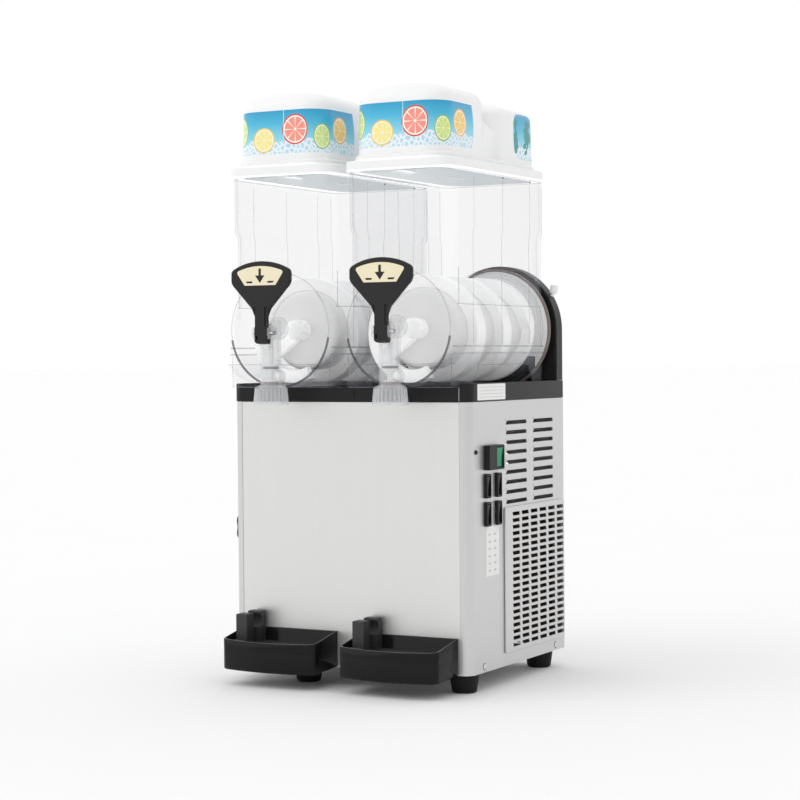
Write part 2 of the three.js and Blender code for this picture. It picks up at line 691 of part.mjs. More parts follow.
// Plan of the tray: straight back, rounded front corners and a bulged front.
function trayPlan(inset) {
  const [half, back, front] = [TRAY_HALF - inset, TRAY_BACK - inset, TRAY_FRONT + inset];
  const shape = new THREE.Shape();
  shape.moveTo(half, back);
  shape.lineTo(-half, back);
  shape.lineTo(-half, front + 22);
  shape.quadraticCurveTo(-half, front + 10, -half + 14, front + 7.5);
  shape.quadraticCurveTo(0, front - 7.5, half - 14, front + 7.5);
  shape.quadraticCurveTo(half, front + 10, half, front + 22);
  shape.closePath();
  return shape;
}

function dripTray() {
  const outer = prism(trayPlan(0), 'z', 10, 90, 6);
  const inner = prism(trayPlan(2.6), 'z', 10, 90, 6);
  const side = outline([[-90, 21.5], [0, 27.5], [0, 81], [-90, 64]]);
  const floor = outline([[-90, 24.5], [0, 30.5], [0, 90], [-90, 90]]);
  const body = outer.intersect(prism(side, 'x', -100, 100));
  return cut(body, inner.intersect(prism(floor, 'x', -100, 100)));
}

const GRID_SLOTS = { rows: 4, columns: 4, x: -26, pitchX: 27, y: -12, pitchY: 11, half: 11 };

function dripGrid() {
  const [low, high] = [GRID_LOW - 1, GRID_TOP + 1];
  const { rows, columns, x, pitchX, y, pitchY, half } = GRID_SLOTS;
  const holes = [block(-16, 16, -60, -54, low, high)];
  for (let row = 0; row < rows; row++) {
    for (let column = 0; column < columns; column++) {
      const [cx, cy] = [x + column * pitchX, y - row * pitchY];
      holes.push(block(cx - half, cx + half, cy - 2, cy + 2, low, high));
    }
  }
  const plate = cut(prism(trayPlan(3.1), 'z', GRID_LOW, GRID_TOP, 6), ...holes);
  const frontPost = block(-69, -50.5, -45, -25, GRID_TOP - 1, 103.5);
  const pad = block(-69, -50.5, -54, -44, GRID_TOP - 1, 65.5);
  const rearPost = block(-64, -42, -20, -4.5, GRID_TOP - 1, 106);
  const seat = rod(12, -70, -35, 'x', 12).translate([0, -26, 92]);
  return join(plate, frontPost, pad, cut(rearPost, seat));
}

// ---- controls -------------------------------------------------------------------------

const smallSwitch = (name, y, z) => ({ name, y, z, wide: 15, high: 35.5, out: 5, rocker: [2.5, 12.5] });
const SWITCHES = [
  { name: 'main', y: 46, z: 320.4, wide: 50, high: 36, out: SIDE_STICKOUT - GAP, rocker: [26, 46] },
  smallSwitch('1', 46, 279.5),
  smallSwitch('2', 82, 279.5),
  smallSwitch('3', 46, 238.7),
  smallSwitch('4', 82, 238.7),
];

function switchBezel(spec) {
  const body = block(0, spec.out, 0, spec.wide, 0, spec.high);
  const [a, b] = spec.rocker;
  const well = block(1, spec.out + 1, a - 1, b + 1, 3, spec.high - 3);
  return cut(body, well);
}

// The rocker is shaped about its own pivot.
function rocker(spec) {
  const half = (spec.rocker[1] - spec.rocker[0]) / 2;
  const tall = spec.high / 2 - 4;
  const shape = outline([[0.2, -tall], [1.4, -tall], [0.4, 0], [1.4, tall], [0.2, tall], [-1.2, 0]]);
  return prism(shape, 'y', -half, half);
}

const KNOB = { r: 23.5, wave: 2.5, lobes: 5, steps: 30, y: 42, z: 227 };

function controlKnob() {
  const points = [];
  for (let i = 0; i < KNOB.steps; i++) {
    const a = (2 * Math.PI * i) / KNOB.steps;
    const r = KNOB.r + KNOB.wave * Math.cos(KNOB.lobes * a);
    points.push([r * Math.cos(a), r * Math.sin(a)]);
  }
  const grip = prism(outline(points), 'x', -SIDE_STICKOUT, -3);
  return join(grip, rod(20, -4, -GAP, 'x', 16));
}

// ---- assembly -------------------------------------------------------------------------

const FEET = {
  front_left: [-82, 20],
  front_right: [176, 27],
  rear_left: [-171, 297],
  rear_right: [171, 297],
};

function cabinet() {
  const group = new THREE.Group();
  group.add(piece('base_plate', basePlate(), innerSteel));
  group.add(piece('front_panel', frontPanel(), steel));
  group.add(piece('right_side_panel', cutIntake(sidePanel()), steel));
  group.add(piece('left_side_panel', sidePanel().mirror([1, 0, 0]), steel));
  group.add(piece('rear_panel', rearPanel(), steel));
  group.add(piece('condenser_grille', condenserGrille(), steel));
  group.add(piece('top_deck', topDeck(), blackPlastic));
  group.add(piece('power_inlet', powerInlet(), blackPlastic));
  for (const [name, [x, y]] of Object.entries(FEET)) {
    group.add(at(piece(`foot_${name}`, foot(), rubber), x, y, 0));
  }
  return group;
}

function cutIntake(panel) {
  const { y0, y1, z0, z1 } = INTAKE;
  return cut(panel, block(CABINET_HALF - 5, CABINET_HALF + 5, y0, y1, z0, z1));
}

const SCREW = { r: HOUSING_R + 2.5, turn: 60, tilt: 12, y: 318 };

function rearAssembly() {
  const group = new THREE.Group();
  group.add(piece('rear_housing', rearHousing(), blackPlastic));
  group.add(piece('rear_cover', rearCover(), blackPlastic));
  const angle = THREE.MathUtils.degToRad(SCREW.turn);
  for (const [name, hand] of [['left', -1], ['right', 1]]) {
    const screw = piece(`cover_screw_${name}`, coverScrew(), whitePlastic);
    const x = hand * (BOWL_PITCH / 2 + SCREW.r * Math.sin(angle));
    screw.rotation.y = hand * THREE.MathUtils.degToRad(SCREW.tilt);
    group.add(at(screw, x, SCREW.y, AXIS_Z + SCREW.r * Math.cos(angle)));
  }
  return group;
}

const COOLING = { compressor: [-80, 205], condenser: [162, 138, 58], motor: [72, 225], fanX: 130 };

function coolingUnit() {
  const group = new THREE.Group();
  const floor = FOOT_HEIGHT + 2 + 2 * GAP;
  const axis = floor + MOTOR_DROP + GAP;
  group.add(at(piece('compressor', compressor(), blackSteel), ...COOLING.compressor, floor + 6 + GAP));
  group.add(at(piece('condenser', condenser(), copper), ...COOLING.condenser));
  group.add(at(piece('fan_motor', fanMotor(), blackSteel), ...COOLING.motor, axis));
  group.add(at(piece('fan_blade', fanBlade(), greyPlastic), COOLING.fanX, COOLING.motor[1], axis));
  return group;
}

function side(name, x) {
  const group = new THREE.Group();
  const axis = new THREE.Group();
  at(axis, 0, 0, AXIS_Z);
  axis.add(piece(`evaporator_${name}`, evaporator(), greyPlastic));
  axis.add(piece(`gearmotor_${name}`, gearmotor(), blackSteel));
  axis.add(piece(`auger_${name}`, auger(), whitePlastic));
  axis.add(piece(`auger_shaft_${name}`, augerShaft(), innerSteel));
  axis.add(piece(`auger_nut_${name}`, augerNut(), whitePlastic));
  group.add(axis);
  group.add(piece(`bowl_gasket_${name}`, gasket(), brownRubber));
  group.add(piece(`bowl_${name}`, bowl(), clearPlastic));
  group.add(piece(`tap_body_${name}`, tapBody(), clearPlastic));
  group.add(piece(`tap_plunger_${name}`, tapPlunger(), whitePlastic));
  group.add(piece(`tap_handle_${name}`, tapHandle(), blackPlastic));
  group.add(at(piece(`handle_pin_${name}`, handlePin(), innerSteel), 0, PIVOT_Y, PIVOT_Z));
  group.add(piece(`lid_${name}`, lid(), whitePlastic));
  group.add(piece(`drip_tray_${name}`, dripTray(), blackGloss));
  group.add(piece(`drip_grid_${name}`, dripGrid(), blackGloss));
  return at(group, x, 0, 0);
}

const ROCKER_DEPTH = 2.6; // pivot below the bezel's face
const ROCKER_TILT = THREE.MathUtils.degToRad(4);

function controls() {
  const group = new THREE.Group();
  const x = CABINET_HALF + GAP;
  for (const spec of SWITCHES) {
    const { name, y, z, high, out, rocker: [a, b] } = spec;
    const cap = piece(`rocker_${name}`, rocker(spec), name === 'main' ? greenPlastic : blackGloss);
    group.add(at(piece(`switch_bezel_${name}`, switchBezel(spec), blackPlastic), x, y, z));
    cap.rotation.y = ROCKER_TILT;
    group.add(at(cap, x + out - ROCKER_DEPTH, y + (a + b) / 2, z + high / 2));
  }
  group.add(at(piece('control_knob', controlKnob(), blackPlastic), -CABINET_HALF, KNOB.y, KNOB.z));
  return group;
}

const machine = new THREE.Group();
machine.add(cabinet());
machine.add(rearAssembly());
machine.add(coolingUnit());
machine.add(side('left', -BOWL_PITCH / 2));
machine.add(side('right', BOWL_PITCH / 2));
machine.add(controls());

const bounds = new THREE.Box3().setFromObject(machine);
machine.position.y = -(bounds.min.y + bounds.max.y) / 2;

export default machine;
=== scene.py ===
import math
import bmesh
import bpy
from mathutils import Matrix, Vector


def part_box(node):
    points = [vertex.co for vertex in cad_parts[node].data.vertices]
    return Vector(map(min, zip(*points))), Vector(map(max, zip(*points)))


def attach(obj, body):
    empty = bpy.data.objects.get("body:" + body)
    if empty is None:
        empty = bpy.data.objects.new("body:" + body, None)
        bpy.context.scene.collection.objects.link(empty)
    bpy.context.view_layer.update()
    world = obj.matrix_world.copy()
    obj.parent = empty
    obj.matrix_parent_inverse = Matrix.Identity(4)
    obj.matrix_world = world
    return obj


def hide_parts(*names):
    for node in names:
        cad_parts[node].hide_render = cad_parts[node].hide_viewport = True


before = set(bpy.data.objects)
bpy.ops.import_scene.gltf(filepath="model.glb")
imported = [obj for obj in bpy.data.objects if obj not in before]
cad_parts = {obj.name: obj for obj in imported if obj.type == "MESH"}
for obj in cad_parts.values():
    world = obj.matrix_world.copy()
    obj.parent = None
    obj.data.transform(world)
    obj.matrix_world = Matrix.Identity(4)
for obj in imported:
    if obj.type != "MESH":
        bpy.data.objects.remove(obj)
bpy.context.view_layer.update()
print("frame loaded")

# Shapes are drawn in millimetres: x from the middle, y back from the cabinet's front, z up from the floor.
mm = 0.001
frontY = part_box("front_panel")[0].y
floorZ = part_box("foot_front_right")[0].z
sides = ("left", "right")


def inPlace(point):  # a point of the frame in this script's millimetres
    return point.x / mm, (point.y - frontY) / mm, (point.z - floorZ) / mm


def middleOf(node):
    low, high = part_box(node)
    return inPlace((low + high) / 2)


def boxOf(node):  # x0, x1, y0, y1, z0, z1
    return [value for pair in zip(*[inPlace(corner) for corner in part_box(node)]) for value in pair]


bowlX = {side: middleOf("auger_nut_" + side)[0] for side in sides}
axisZ = middleOf("auger_nut_left")[2]


def loft(rings, closed=True):
    count = len(rings[0])
    points = [Vector(p) for ring in rings for p in ring]
    faces = []
    for row in range(len(rings) - 1):
        for i in range(count):
            j = (i + 1) % count
            a, b = row * count + i, row * count + j
            faces.append((a, b, b + count, a + count))
    if closed:
        last = (len(rings) - 1) * count
        faces.append(tuple(range(count - 1, -1, -1)))
        faces.append(tuple(range(last, last + count)))
    return points, faces


def hoop(rings):  # a loft whose last ring meets its first
    count = len(rings[0])
    points, faces = loft(rings, closed=False)
    last = (len(rings) - 1) * count
    for i in range(count):
        j = (i + 1) % count
        faces.append((last + i, last + j, j, i))
    return points, faces


def moved(part, x=0, y=0, z=0):
    points, faces = part
    return [p + Vector((x, y, z)) for p in points], faces


def turnedBy(part, matrix):
    points, faces = part
    return [matrix @ p for p in points], faces


toAxis = {
    "x": Matrix(((0, 0, 1), (1, 0, 0), (0, 1, 0))),
    "y": Matrix(((1, 0, 0), (0, 0, 1), (0, 1, 0))),
    "z": Matrix.Identity(3),
}


def prism(points, axis, low, high, soft=0):
    # an outline drawn in the other two axes, pushed from low to high, with its edges rounded off by soft
    steps = [(low, soft), (low + soft, 0), (high - soft, 0), (high, soft)] if soft else [
        (low, 0), (high, 0)
    ]
    rings = [[(a, b, h) for a, b in inward(points, inset)] for h, inset in steps]
    return turnedBy(loft(rings), toAxis[axis])


def inward(points, inset):
    if not inset:
        return points
    count = len(points)
    area = sum(points[i - 1][0] * points[i][1] - points[i][0] * points[i - 1][1] for i in range(count))
    turn = 1 if area > 0 else -1
    result = []
    for i in range(count):
        before = Vector(points[i]) - Vector(points[i - 1])
        after = Vector(points[(i + 1) % count]) - Vector(points[i])
        n1 = Vector((-before.y, before.x)).normalized() * turn
        n2 = Vector((-after.y, after.x)).normalized() * turn
        n = (n1 + n2).normalized()
        result.append(tuple(Vector(points[i]) + n * inset / max(0.35, n.dot(n1))))
    return result


def turned(profile, axis="z", segments=64):
    # a profile of radius and height turned round an axis
    # it may start and end on the axis, or close on itself
    rings = []
    for r, h in profile:
        angles = [2 * math.pi * i / segments for i in range(segments)]
        rings.append([(max(r, 1e-4) * math.cos(a), max(r, 1e-4) * math.sin(a), h) for a in angles])
    onAxis = profile[0][0] == 0
    return turnedBy(loft(rings) if onAxis else hoop(rings), toAxis[axis])


def rod(r, low, high, axis="z", segments=48, soft=0):
    profile = [(0, low), (r - soft, low), (r, low + soft), (r, high - soft), (r - soft, high), (0, high)]
    return turned(profile if soft else [(0, low), (r, low), (r, high), (0, high)], axis, segments)


def block(x0, x1, y0, y1, z0, z1, soft=0):
    return prism([(x0, y0), (x1, y0), (x1, y1), (x0, y1)], "z", z0, z1, soft)


def arc(cx, cy, r, start, end, steps):
    angles = [math.radians(start + (end - start) * i / steps) for i in range(steps + 1)]
    return [(cx + r * math.cos(a), cy + r * math.sin(a)) for a in angles]


def roundedRect(x0, x1, y0, y1, rLow, rHigh=None, steps=8):
    rHigh = rLow if rHigh is None else rHigh
    return [
        *arc(x1 - rLow, y0 + rLow, rLow, -90, 0, steps), *arc(x1 - rHigh, y1 - rHigh, rHigh, 0, 90, steps),
        *arc(x0 + rHigh, y1 - rHigh, rHigh, 90, 180, steps),
        *arc(x0 + rLow, y0 + rLow, rLow, 180, 270, steps),
    ]


def bend(start, control, end, steps=8):
    points = []
    for i in range(1, steps + 1):
        t = i / steps
        points.append(
            tuple((1 - t) ** 2 * Vector(start) + 2 * t * (1 - t) * Vector(control) + t * t * Vector(end))
        )
    return points


def cordOf(path, r, closed=False, facets=6):
    # a thin round bead along a line of points
    points = [Vector(p) for p in path]
    count = len(points)
    rings = []
    for i, point in enumerate(points):
        before = points[i - 1] if closed or i else point
        after = points[(i + 1) % count] if closed or i < count - 1 else point
        along = (after - before).normalized()
        side = along.cross(Vector((0, 0, 1)) if abs(along.z) < 0.9 else Vector((0, 1, 0))).normalized()
        up = side.cross(along)
        turns = [2 * math.pi * k / facets for k in range(facets)]
        rings.append([point + (side * math.cos(t) + up * math.sin(t)) * r for t in turns])
    return hoop(rings) if closed else loft(rings)


def meshOf(name, parts):
    made = bmesh.new()
    for points, faces in parts:
        corners = [made.verts.new(p) for p in points]
        for face in faces:
            made.faces.new([corners[i] for i in face])
    bmesh.ops.remove_doubles(made, verts=made.verts, dist=1e-3)
    bmesh.ops.dissolve_degenerate(made, dist=1e-4, edges=made.edges)
    bmesh.ops.recalc_face_normals(made, faces=made.faces)
    mesh = bpy.data.meshes.new(name)
    made.to_mesh(mesh)
    made.free()
    return mesh


def link(name, mesh):
    thing = bpy.data.objects.new(name, mesh)
    bpy.context.scene.collection.objects.link(thing)
    return thing


def plain(thing):
    graph = bpy.context.evaluated_depsgraph_get()
    return bpy.data.meshes.new_from_object(thing.evaluated_get(graph))


def partOf(mesh):
    return [v.co.copy() for v in mesh.vertices], [tuple(p.vertices) for p in mesh.polygons]


def combined(base, tools, operation):
    holder = link("holder", meshOf("holder", [base]))
    helpers = []
    for tool in tools:
        helper = link("helper", meshOf("helper", [tool]))
        change = holder.modifiers.new("change", "BOOLEAN")
        change.operation, change.solver, change.object = operation, "MANIFOLD", helper
        helpers.append(helper)
    result = partOf(plain(holder))
    for thing in [holder, *helpers]:
        bpy.data.objects.remove(thing)
    return result


def cut(base, *tools):
    return combined(base, tools, "DIFFERENCE")


def joined(base, *others):
    return combined(base, others, "UNION")


def build(name, parts, finish, body, replaces=(), bevel=0, smooth=32, tidy=True):
    mesh = meshOf(name, parts)
    place = Matrix.Translation((0, frontY, floorZ)) @ Matrix.Scale(mm, 4)
    mesh.transform(place)
    if tidy:
        made = bmesh.new()
        made.from_mesh(mesh)
        bmesh.ops.dissolve_limit(made, angle_limit=0.01, verts=made.verts, edges=made.edges)
        made.to_mesh(mesh)
        made.free()
    for polygon in mesh.polygons:
        polygon.use_smooth = True
    mesh.set_sharp_from_angle(angle=math.radians(smooth))
    mesh.materials.append(finishes[finish])
    thing = link(name, mesh)
    if bevel:
        rounding = thing.modifiers.new("roundedEdges", "BEVEL")
        rounding.width, rounding.segments, rounding.limit_method = bevel * mm, 2, "ANGLE"
        rounding.angle_limit = math.radians(40)
        rounding.harden_normals = True
    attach(thing, body)
    if replaces:
        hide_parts(*replaces)
    return thing


def newTree(name, inputs):
    tree = bpy.data.node_groups.new(name, "GeometryNodeTree")
    tree.interface.new_socket("Geometry", in_out="INPUT", socket_type="NodeSocketGeometry")
    for label, kind in inputs.items():
        tree.interface.new_socket(label, in_out="INPUT", socket_type=kind)
    tree.interface.new_socket("Geometry", in_out="OUTPUT", socket_type="NodeSocketGeometry")
    return tree, tree.nodes.new("NodeGroupInput"), tree.nodes.new("NodeGroupOutput")


def addNode(tree, kind, settings, sockets):
    made = tree.nodes.new(kind)
    for key, value in settings.items():
        setattr(made, key, value)
    for key, value in sockets.items():
        if isinstance(value, bpy.types.NodeSocket):
            tree.links.new(value, made.inputs[key])
        else:
            made.inputs[key].default_value = value
    return made


def finishTree(tree, start, end, instances):
    real = addNode(tree, "GeometryNodeRealizeInstances", {}, {"Geometry": instances})
    painted = addNode(
        tree, "GeometryNodeSetMaterial", {},
        {"Geometry": real.outputs[0], "Material": start.outputs["Material"]},
    )
    tree.links.new(painted.outputs[0], end.inputs[0])
    return tree


def rowsTree():
    tree, start, end = newTree("rowsAndColumns", {
        "Across": "NodeSocketInt", "Up": "NodeSocketInt", "Across Step": "NodeSocketVector",
        "Up Step": "NodeSocketVector", "Material": "NodeSocketMaterial",
    })
    lines = []
    for count, step in (("Across", "Across Step"), ("Up", "Up Step")):
        sockets = {"Count": start.outputs[count], "Offset": start.outputs[step]}
        lines.append(addNode(tree, "GeometryNodeMeshLine", {"mode": "OFFSET"}, sockets))
    points = addNode(
        tree, "GeometryNodeInstanceOnPoints", {},
        {"Points": lines[0].outputs[0], "Instance": lines[1].outputs[0]},
    )
    real = addNode(tree, "GeometryNodeRealizeInstances", {}, {"Geometry": points.outputs[0]})
    copies = addNode(
        tree, "GeometryNodeInstanceOnPoints", {},
        {"Points": real.outputs[0], "Instance": start.outputs["Geometry"]},
    )
    return finishTree(tree, start, end, copies.outputs[0])


def aroundTree():
    tree, start, end = newTree("aroundAnAxis", {"Count": "NodeSocketInt", "Material": "NodeSocketMaterial"})
    line = addNode(
        tree, "GeometryNodeMeshLine", {"mode": "OFFSET"},
        {"Count": start.outputs["Count"], "Offset": (0, 0, 0)},
    )
    index = addNode(tree, "GeometryNodeInputIndex", {}, {})
    step = addNode(
        tree, "ShaderNodeMath", {"operation": "DIVIDE"}, {0: 2 * math.pi, 1: start.outputs["Count"]})
    angle = addNode(
        tree, "ShaderNodeMath", {"operation": "MULTIPLY"}, {0: index.outputs[0], 1: step.outputs[0]})
    turn = addNode(tree, "ShaderNodeCombineXYZ", {}, {"Z": angle.outputs[0]})
    copies = addNode(
        tree, "GeometryNodeInstanceOnPoints", {},
        {"Points": line.outputs[0], "Instance": start.outputs["Geometry"], "Rotation": turn.outputs[0]},
    )
    return finishTree(tree, start, end, copies.outputs[0])


rowsNodes = rowsTree()
aroundNodes = aroundTree()


def repeated(part, tree, values):
    thing = link("repeat", meshOf("repeat", [part]))
    change = thing.modifiers.new("repeat", "NODES")
    change.node_group = tree
    names = {s.name: s.identifier for s in tree.interface.items_tree if s.in_out == "INPUT"}
    for label, value in values.items():
        change[names[label]] = value
    mesh = plain(thing)
    bpy.data.objects.remove(thing)
    return partOf(mesh)


def rows(part, across, up, acrossStep, upStep, finish):
    return repeated(part, rowsNodes, {
        "Across": across, "Up": up, "Across Step": [float(v) for v in acrossStep],
        "Up Step": [float(v) for v in upStep], "Material": finishes[finish],
    })


def around(part, count, finish):
    return repeated(part, aroundNodes, {"Count": count, "Material": finishes[finish]})


class Wire:
    def __init__(self, finish, socket):
        self.finish = finish
        self.socket = socket

    def maths(self, operation, *others):
        return self.finish.node("ShaderNodeMath", {"operation": operation}, [self, *others])

    def __add__(self, other):
        return self.maths("ADD", other)

    def __mul__(self, other):
        return self.maths("MULTIPLY", other)

    def __sub__(self, other):
        return self.maths("SUBTRACT", other)

    def __rsub__(self, other):
        return self.finish.node("ShaderNodeMath", {"operation": "SUBTRACT"}, [other, self])

    def __gt__(self, other):
        return self.maths("GREATER_THAN", other)

    def __lt__(self, other):
        return self.maths("LESS_THAN", other)

    __radd__ = __add__
    __rmul__ = __mul__


class Finish:
    def __init__(self, name, sockets):
        self.material = bpy.data.materials.new(name)
        self.material.use_nodes = True
        self.tree = self.material.node_tree
        self.tree.nodes.clear()
        self.shader = self.tree.nodes.new("ShaderNodeBsdfPrincipled")
        self.output = self.tree.nodes.new("ShaderNodeOutputMaterial")
        self.tree.links.new(self.shader.outputs[0], self.output.inputs[0])
        for key, value in sockets.items():
            self.join(value, self.shader.inputs[key])

    def join(self, value, target):
        if isinstance(value, Wire):
            self.tree.links.new(value.socket, target)
        else:
            target.default_value = value

    def node(self, kind, settings, sockets, output=0):
        made = self.tree.nodes.new(kind)
        for key, value in settings.items():
            if key == "stops":
                ramp = made.color_ramp
                while len(ramp.elements) < len(value):
                    ramp.elements.new(0.5)
                for element, (position, colour) in zip(ramp.elements, value):
                    element.position, element.color = position, (*colour, 1)
            else:
                setattr(made, key, value)
        for key, value in sockets.items() if isinstance(sockets, dict) else enumerate(sockets):
            self.join(value, made.inputs[key])
        return Wire(self, made.outputs[output])

    def place(self):
        return self.node("ShaderNodeTexCoord", {}, {}, "Object")

    def spot(self):
        split = self.tree.nodes.new("ShaderNodeSeparateXYZ")
        self.join(self.place(), split.inputs[0])
        return [Wire(self, s) for s in split.outputs]

    def noise(self, scale, detail=3.0, stretch=(1, 1, 1)):
        spot = self.node("ShaderNodeMapping", {}, {"Vector": self.place(), "Scale": stretch})
        return self.node("ShaderNodeTexNoise", {}, {"Vector": spot, "Scale": scale, "Detail": detail})

    def spread(self, value, low, high):  # a 0 to 1 value spread over a range
        return value * (high - low) + low

    def blend(self, factor, a, b):
        return self.node(
            "ShaderNodeMix", {"data_type": "RGBA"},
            {0: factor, 6: a if isinstance(a, Wire) else (*a, 1), 7: b if isinstance(b, Wire) else (*b, 1)},
            2,
        )

    def set(self, socket, value):
        self.join(value, self.shader.inputs[socket])

    def bump(self, height, strength, distance=0.0005):
        sockets = {"Height": height, "Strength": strength, "Distance": distance}
        self.set("Normal", self.node("ShaderNodeBump", {}, sockets))


def moulded(name, colour, roughness, grain=900, bump=0.06, spread=0.05, coat=0.0, shine=0.5, glow=0.0):
    finish = Finish(name, {"Coat Weight": coat, "Coat Roughness": 0.08, "Specular IOR Level": shine})
    cloud = finish.noise(14, 4)
    fine = finish.noise(grain, 2)
    lighter = tuple(min(1, c * 1.14 + 0.004) for c in colour)
    finish.set("Base Color", finish.blend(cloud, colour, lighter))
    finish.set("Roughness", finish.spread(cloud, roughness - spread, roughness + spread))
    finish.bump(fine, bump)
    if glow:  # painted light: the moulding is given a faint glow, to lighten it where the clear bowl round it leaves it in shade
        finish.set("Emission Color", (*colour, 1))
        finish.set("Emission Strength", glow)
    return finish.material


def brushed(name, colour, roughness, stretch, metal=1.0):
    finish = Finish(name, {"Metallic": metal, "Anisotropic": 0.3})
    strokes = finish.noise(220, 3, stretch)
    cloud = finish.noise(5, 3)
    darker = tuple(c * 0.93 for c in colour)
    finish.set("Base Color", finish.blend(strokes * 0.6 + cloud * 0.4, darker, colour))
    finish.set("Roughness", finish.spread(strokes, roughness - 0.06, roughness + 0.06))
    finish.bump(strokes, 0.05, 0.0002)
    return finish.material


def clear(name, tint, haze, gloss=0.9):
    # thin clear plastic: mostly see-through, with a faint haze and a reflection that grows at the edges
    finish = Finish(name, {"Base Color": (*tint, 1), "Specular IOR Level": 0.5})
    marks = finish.noise(30, 4)
    finish.set("Roughness", finish.spread(marks, 0.03, 0.1))
    through = finish.node("ShaderNodeBsdfTransparent", {}, {"Color": (1, 1, 1, 1)})
    edge = finish.node("ShaderNodeLayerWeight", {}, {"Blend": 0.3}, "Facing")
    amount = haze + edge * edge * edge * gloss
    mixed = finish.node(
        "ShaderNodeMixShader", {}, [amount, through, Wire(finish, finish.shader.outputs[0])])
    finish.join(mixed, finish.output.inputs[0])
    return finish.material


finishes = {
    "front": brushed("brushedFront", (0.78, 0.78, 0.765), 0.36, (1, 1, 0.02), 0.75),
    "side": brushed("brushedSide", (0.68, 0.68, 0.68), 0.38, (1, 0.02, 1), 0.8),
    "steel": brushed("plainSteel", (0.6, 0.6, 0.61), 0.36, (1, 1, 0.2)),
    "screw": brushed("screwSteel", (0.82, 0.82, 0.82), 0.16, (1, 1, 1)),
    # the drum and the auger get a painted glow, to lift the shade inside the clear bowls
    "drum": moulded("drumGrey", (0.8, 0.8, 0.795), 0.4, 400, 0.03, glow=0.06),
    "auger": moulded("augerWhite", (0.9, 0.9, 0.895), 0.3, 800, 0.03, glow=0.18),
    "bright": brushed("brightSteel", (0.78, 0.78, 0.78), 0.2, (1, 1, 1)),
    "black": moulded("blackMoulding", (0.010, 0.010, 0.011), 0.38, 700, 0.08, shine=0.2),
    "housing": moulded("blackHousing", (0.010, 0.010, 0.011), 0.34, 600, 0.1, shine=0.2),
    "tray": moulded("trayGloss", (0.006, 0.006, 0.007), 0.13, 500, 0.03, 0.04, shine=0.17),
    # a lighter grey, shinier moulding for the bead round the tray rim: painted highlight
    "trayRim": moulded("trayRim", (0.1, 0.1, 0.1), 0.15, 500, 0.03, 0.04, shine=0.9),
    "grid": moulded("gridBlack", (0.03, 0.03, 0.031), 0.5, 260, 0.5, shine=0.4),
    "handle": moulded("handleBlack", (0.019, 0.018, 0.018), 0.42, 1200, 0.1, shine=0.22),
    "rubber": moulded("footRubber", (0.008, 0.008, 0.008), 0.62, 500, 0.15, shine=0.2),
    "seal": moulded("brownSeal", (0.2, 0.145, 0.125), 0.55, 600, 0.1),
    "ring": moulded("darkRing", (0.05, 0.035, 0.045), 0.45, 600, 0.05),
    "white": moulded("whiteMoulding", (0.9, 0.9, 0.89), 0.3, 800, 0.03),
    "grey": moulded("greyMoulding", (0.55, 0.55, 0.54), 0.42, 700, 0.05),
    "label": moulded("labelFilm", (0.8, 0.8, 0.79), 0.35, 300, 0.02),
    "cream": moulded("creamInlay", (0.82, 0.74, 0.53), 0.35, 400, 0.02),
    "paintedBlack": moulded("paintedBlack", (0.02, 0.021, 0.023), 0.4, 300, 0.1),
    "green": moulded("greenRocker", (0.004, 0.26, 0.12), 0.25, 300, 0.02, 0.03, shine=0.25),
    "copper": brushed("copperFins", (0.16, 0.1, 0.075), 0.4, (1, 1, 0.1)),
    "clear": clear("clearBowl", (0.42, 0.43, 0.47), 0.024),
    # clearEdge and discEdge: darker, hazier clear plastic, used for painted shade along the bowl's thick
    # edges
    "clearEdge": clear("clearEdge", (0.3, 0.3, 0.34), 0.2),
    "discEdge": clear("discEdge", (0.08, 0.08, 0.1), 0.5),
    "clearTap": clear("clearTap", (0.8, 0.81, 0.83), 0.2),
}
print("finishes mixed")


cabinet = {
    "half": 200, "depth": 330, "low": 27.3, "top": 419.7, "corner": 16, "sheet": 1.5,
    "slotHeight": 7, "slotTop": 387, "slotPitch": 14.7, "slotRows": 9,
    "slotColumns": [(120.5, 194), (216.5, 290)],
    "intake": (132, 322, 50, 256), "rearVents": (-70, 70),
}


def slotCutter(y0, y1, z, x0, x1):
    h = cabinet["slotHeight"] / 2
    shape = [
        (y0, z - h + 0.6), (y1, z - h + 0.6), (y1, z), (y1 - 1.5, z + h - 0.6), (y1 - 4, z + h),
        (y0 + 8, z + h), (y0 + 3.5, z + h - 1.2),
    ]
    return prism(shape, "x", x0, x1)


def sidePanelPart(withIntake):
    c = cabinet
    x, r, t = c["half"], c["corner"], c["sheet"]
    outer = arc(x - r, r, r, -90, 0, 14)
    inner = arc(x - r, r, r - t, 0, -90, 14)
    shape = [*outer, (x, c["depth"]), (x - t, c["depth"]), *inner]
    panel = prism(shape, "z", c["low"], c["top"])
    tools = []
    for y0, y1 in c["slotColumns"]:
        first = slotCutter(y0, y1, c["slotTop"], x - 5, x + 5)
        tools.append(rows(first, 1, c["slotRows"], (0, 0, 0), (0, 0, -c["slotPitch"]), "side"))
    if withIntake:
        y0, y1, z0, z1 = c["intake"]
        tools.append(block(x - 5, x + 5, y0, y1, z0, z1))
    return cut(panel, *tools)


def louvreLips():
    # the pressed hood above each slot
    c = cabinet
    lips = []
    for y0, y1 in c["slotColumns"]:
        z = c["slotTop"] + c["slotHeight"] / 2
        inside, outside = c["half"] - 0.2, c["half"] + 0.9
        shape = [(inside, z + 3.2), (outside, z + 0.4), (outside, z - 0.5), (inside, z)]
        first = prism(shape, "y", y0 + 0.5, y1 - 0.5)
        lips.append(rows(first, 1, c["slotRows"], (0, 0, 0), (0, 0, -c["slotPitch"]), "side"))
    return lips


def mirrored(part):
    points, faces = part
    return [Vector((-p.x, p.y, p.z)) for p in points], faces


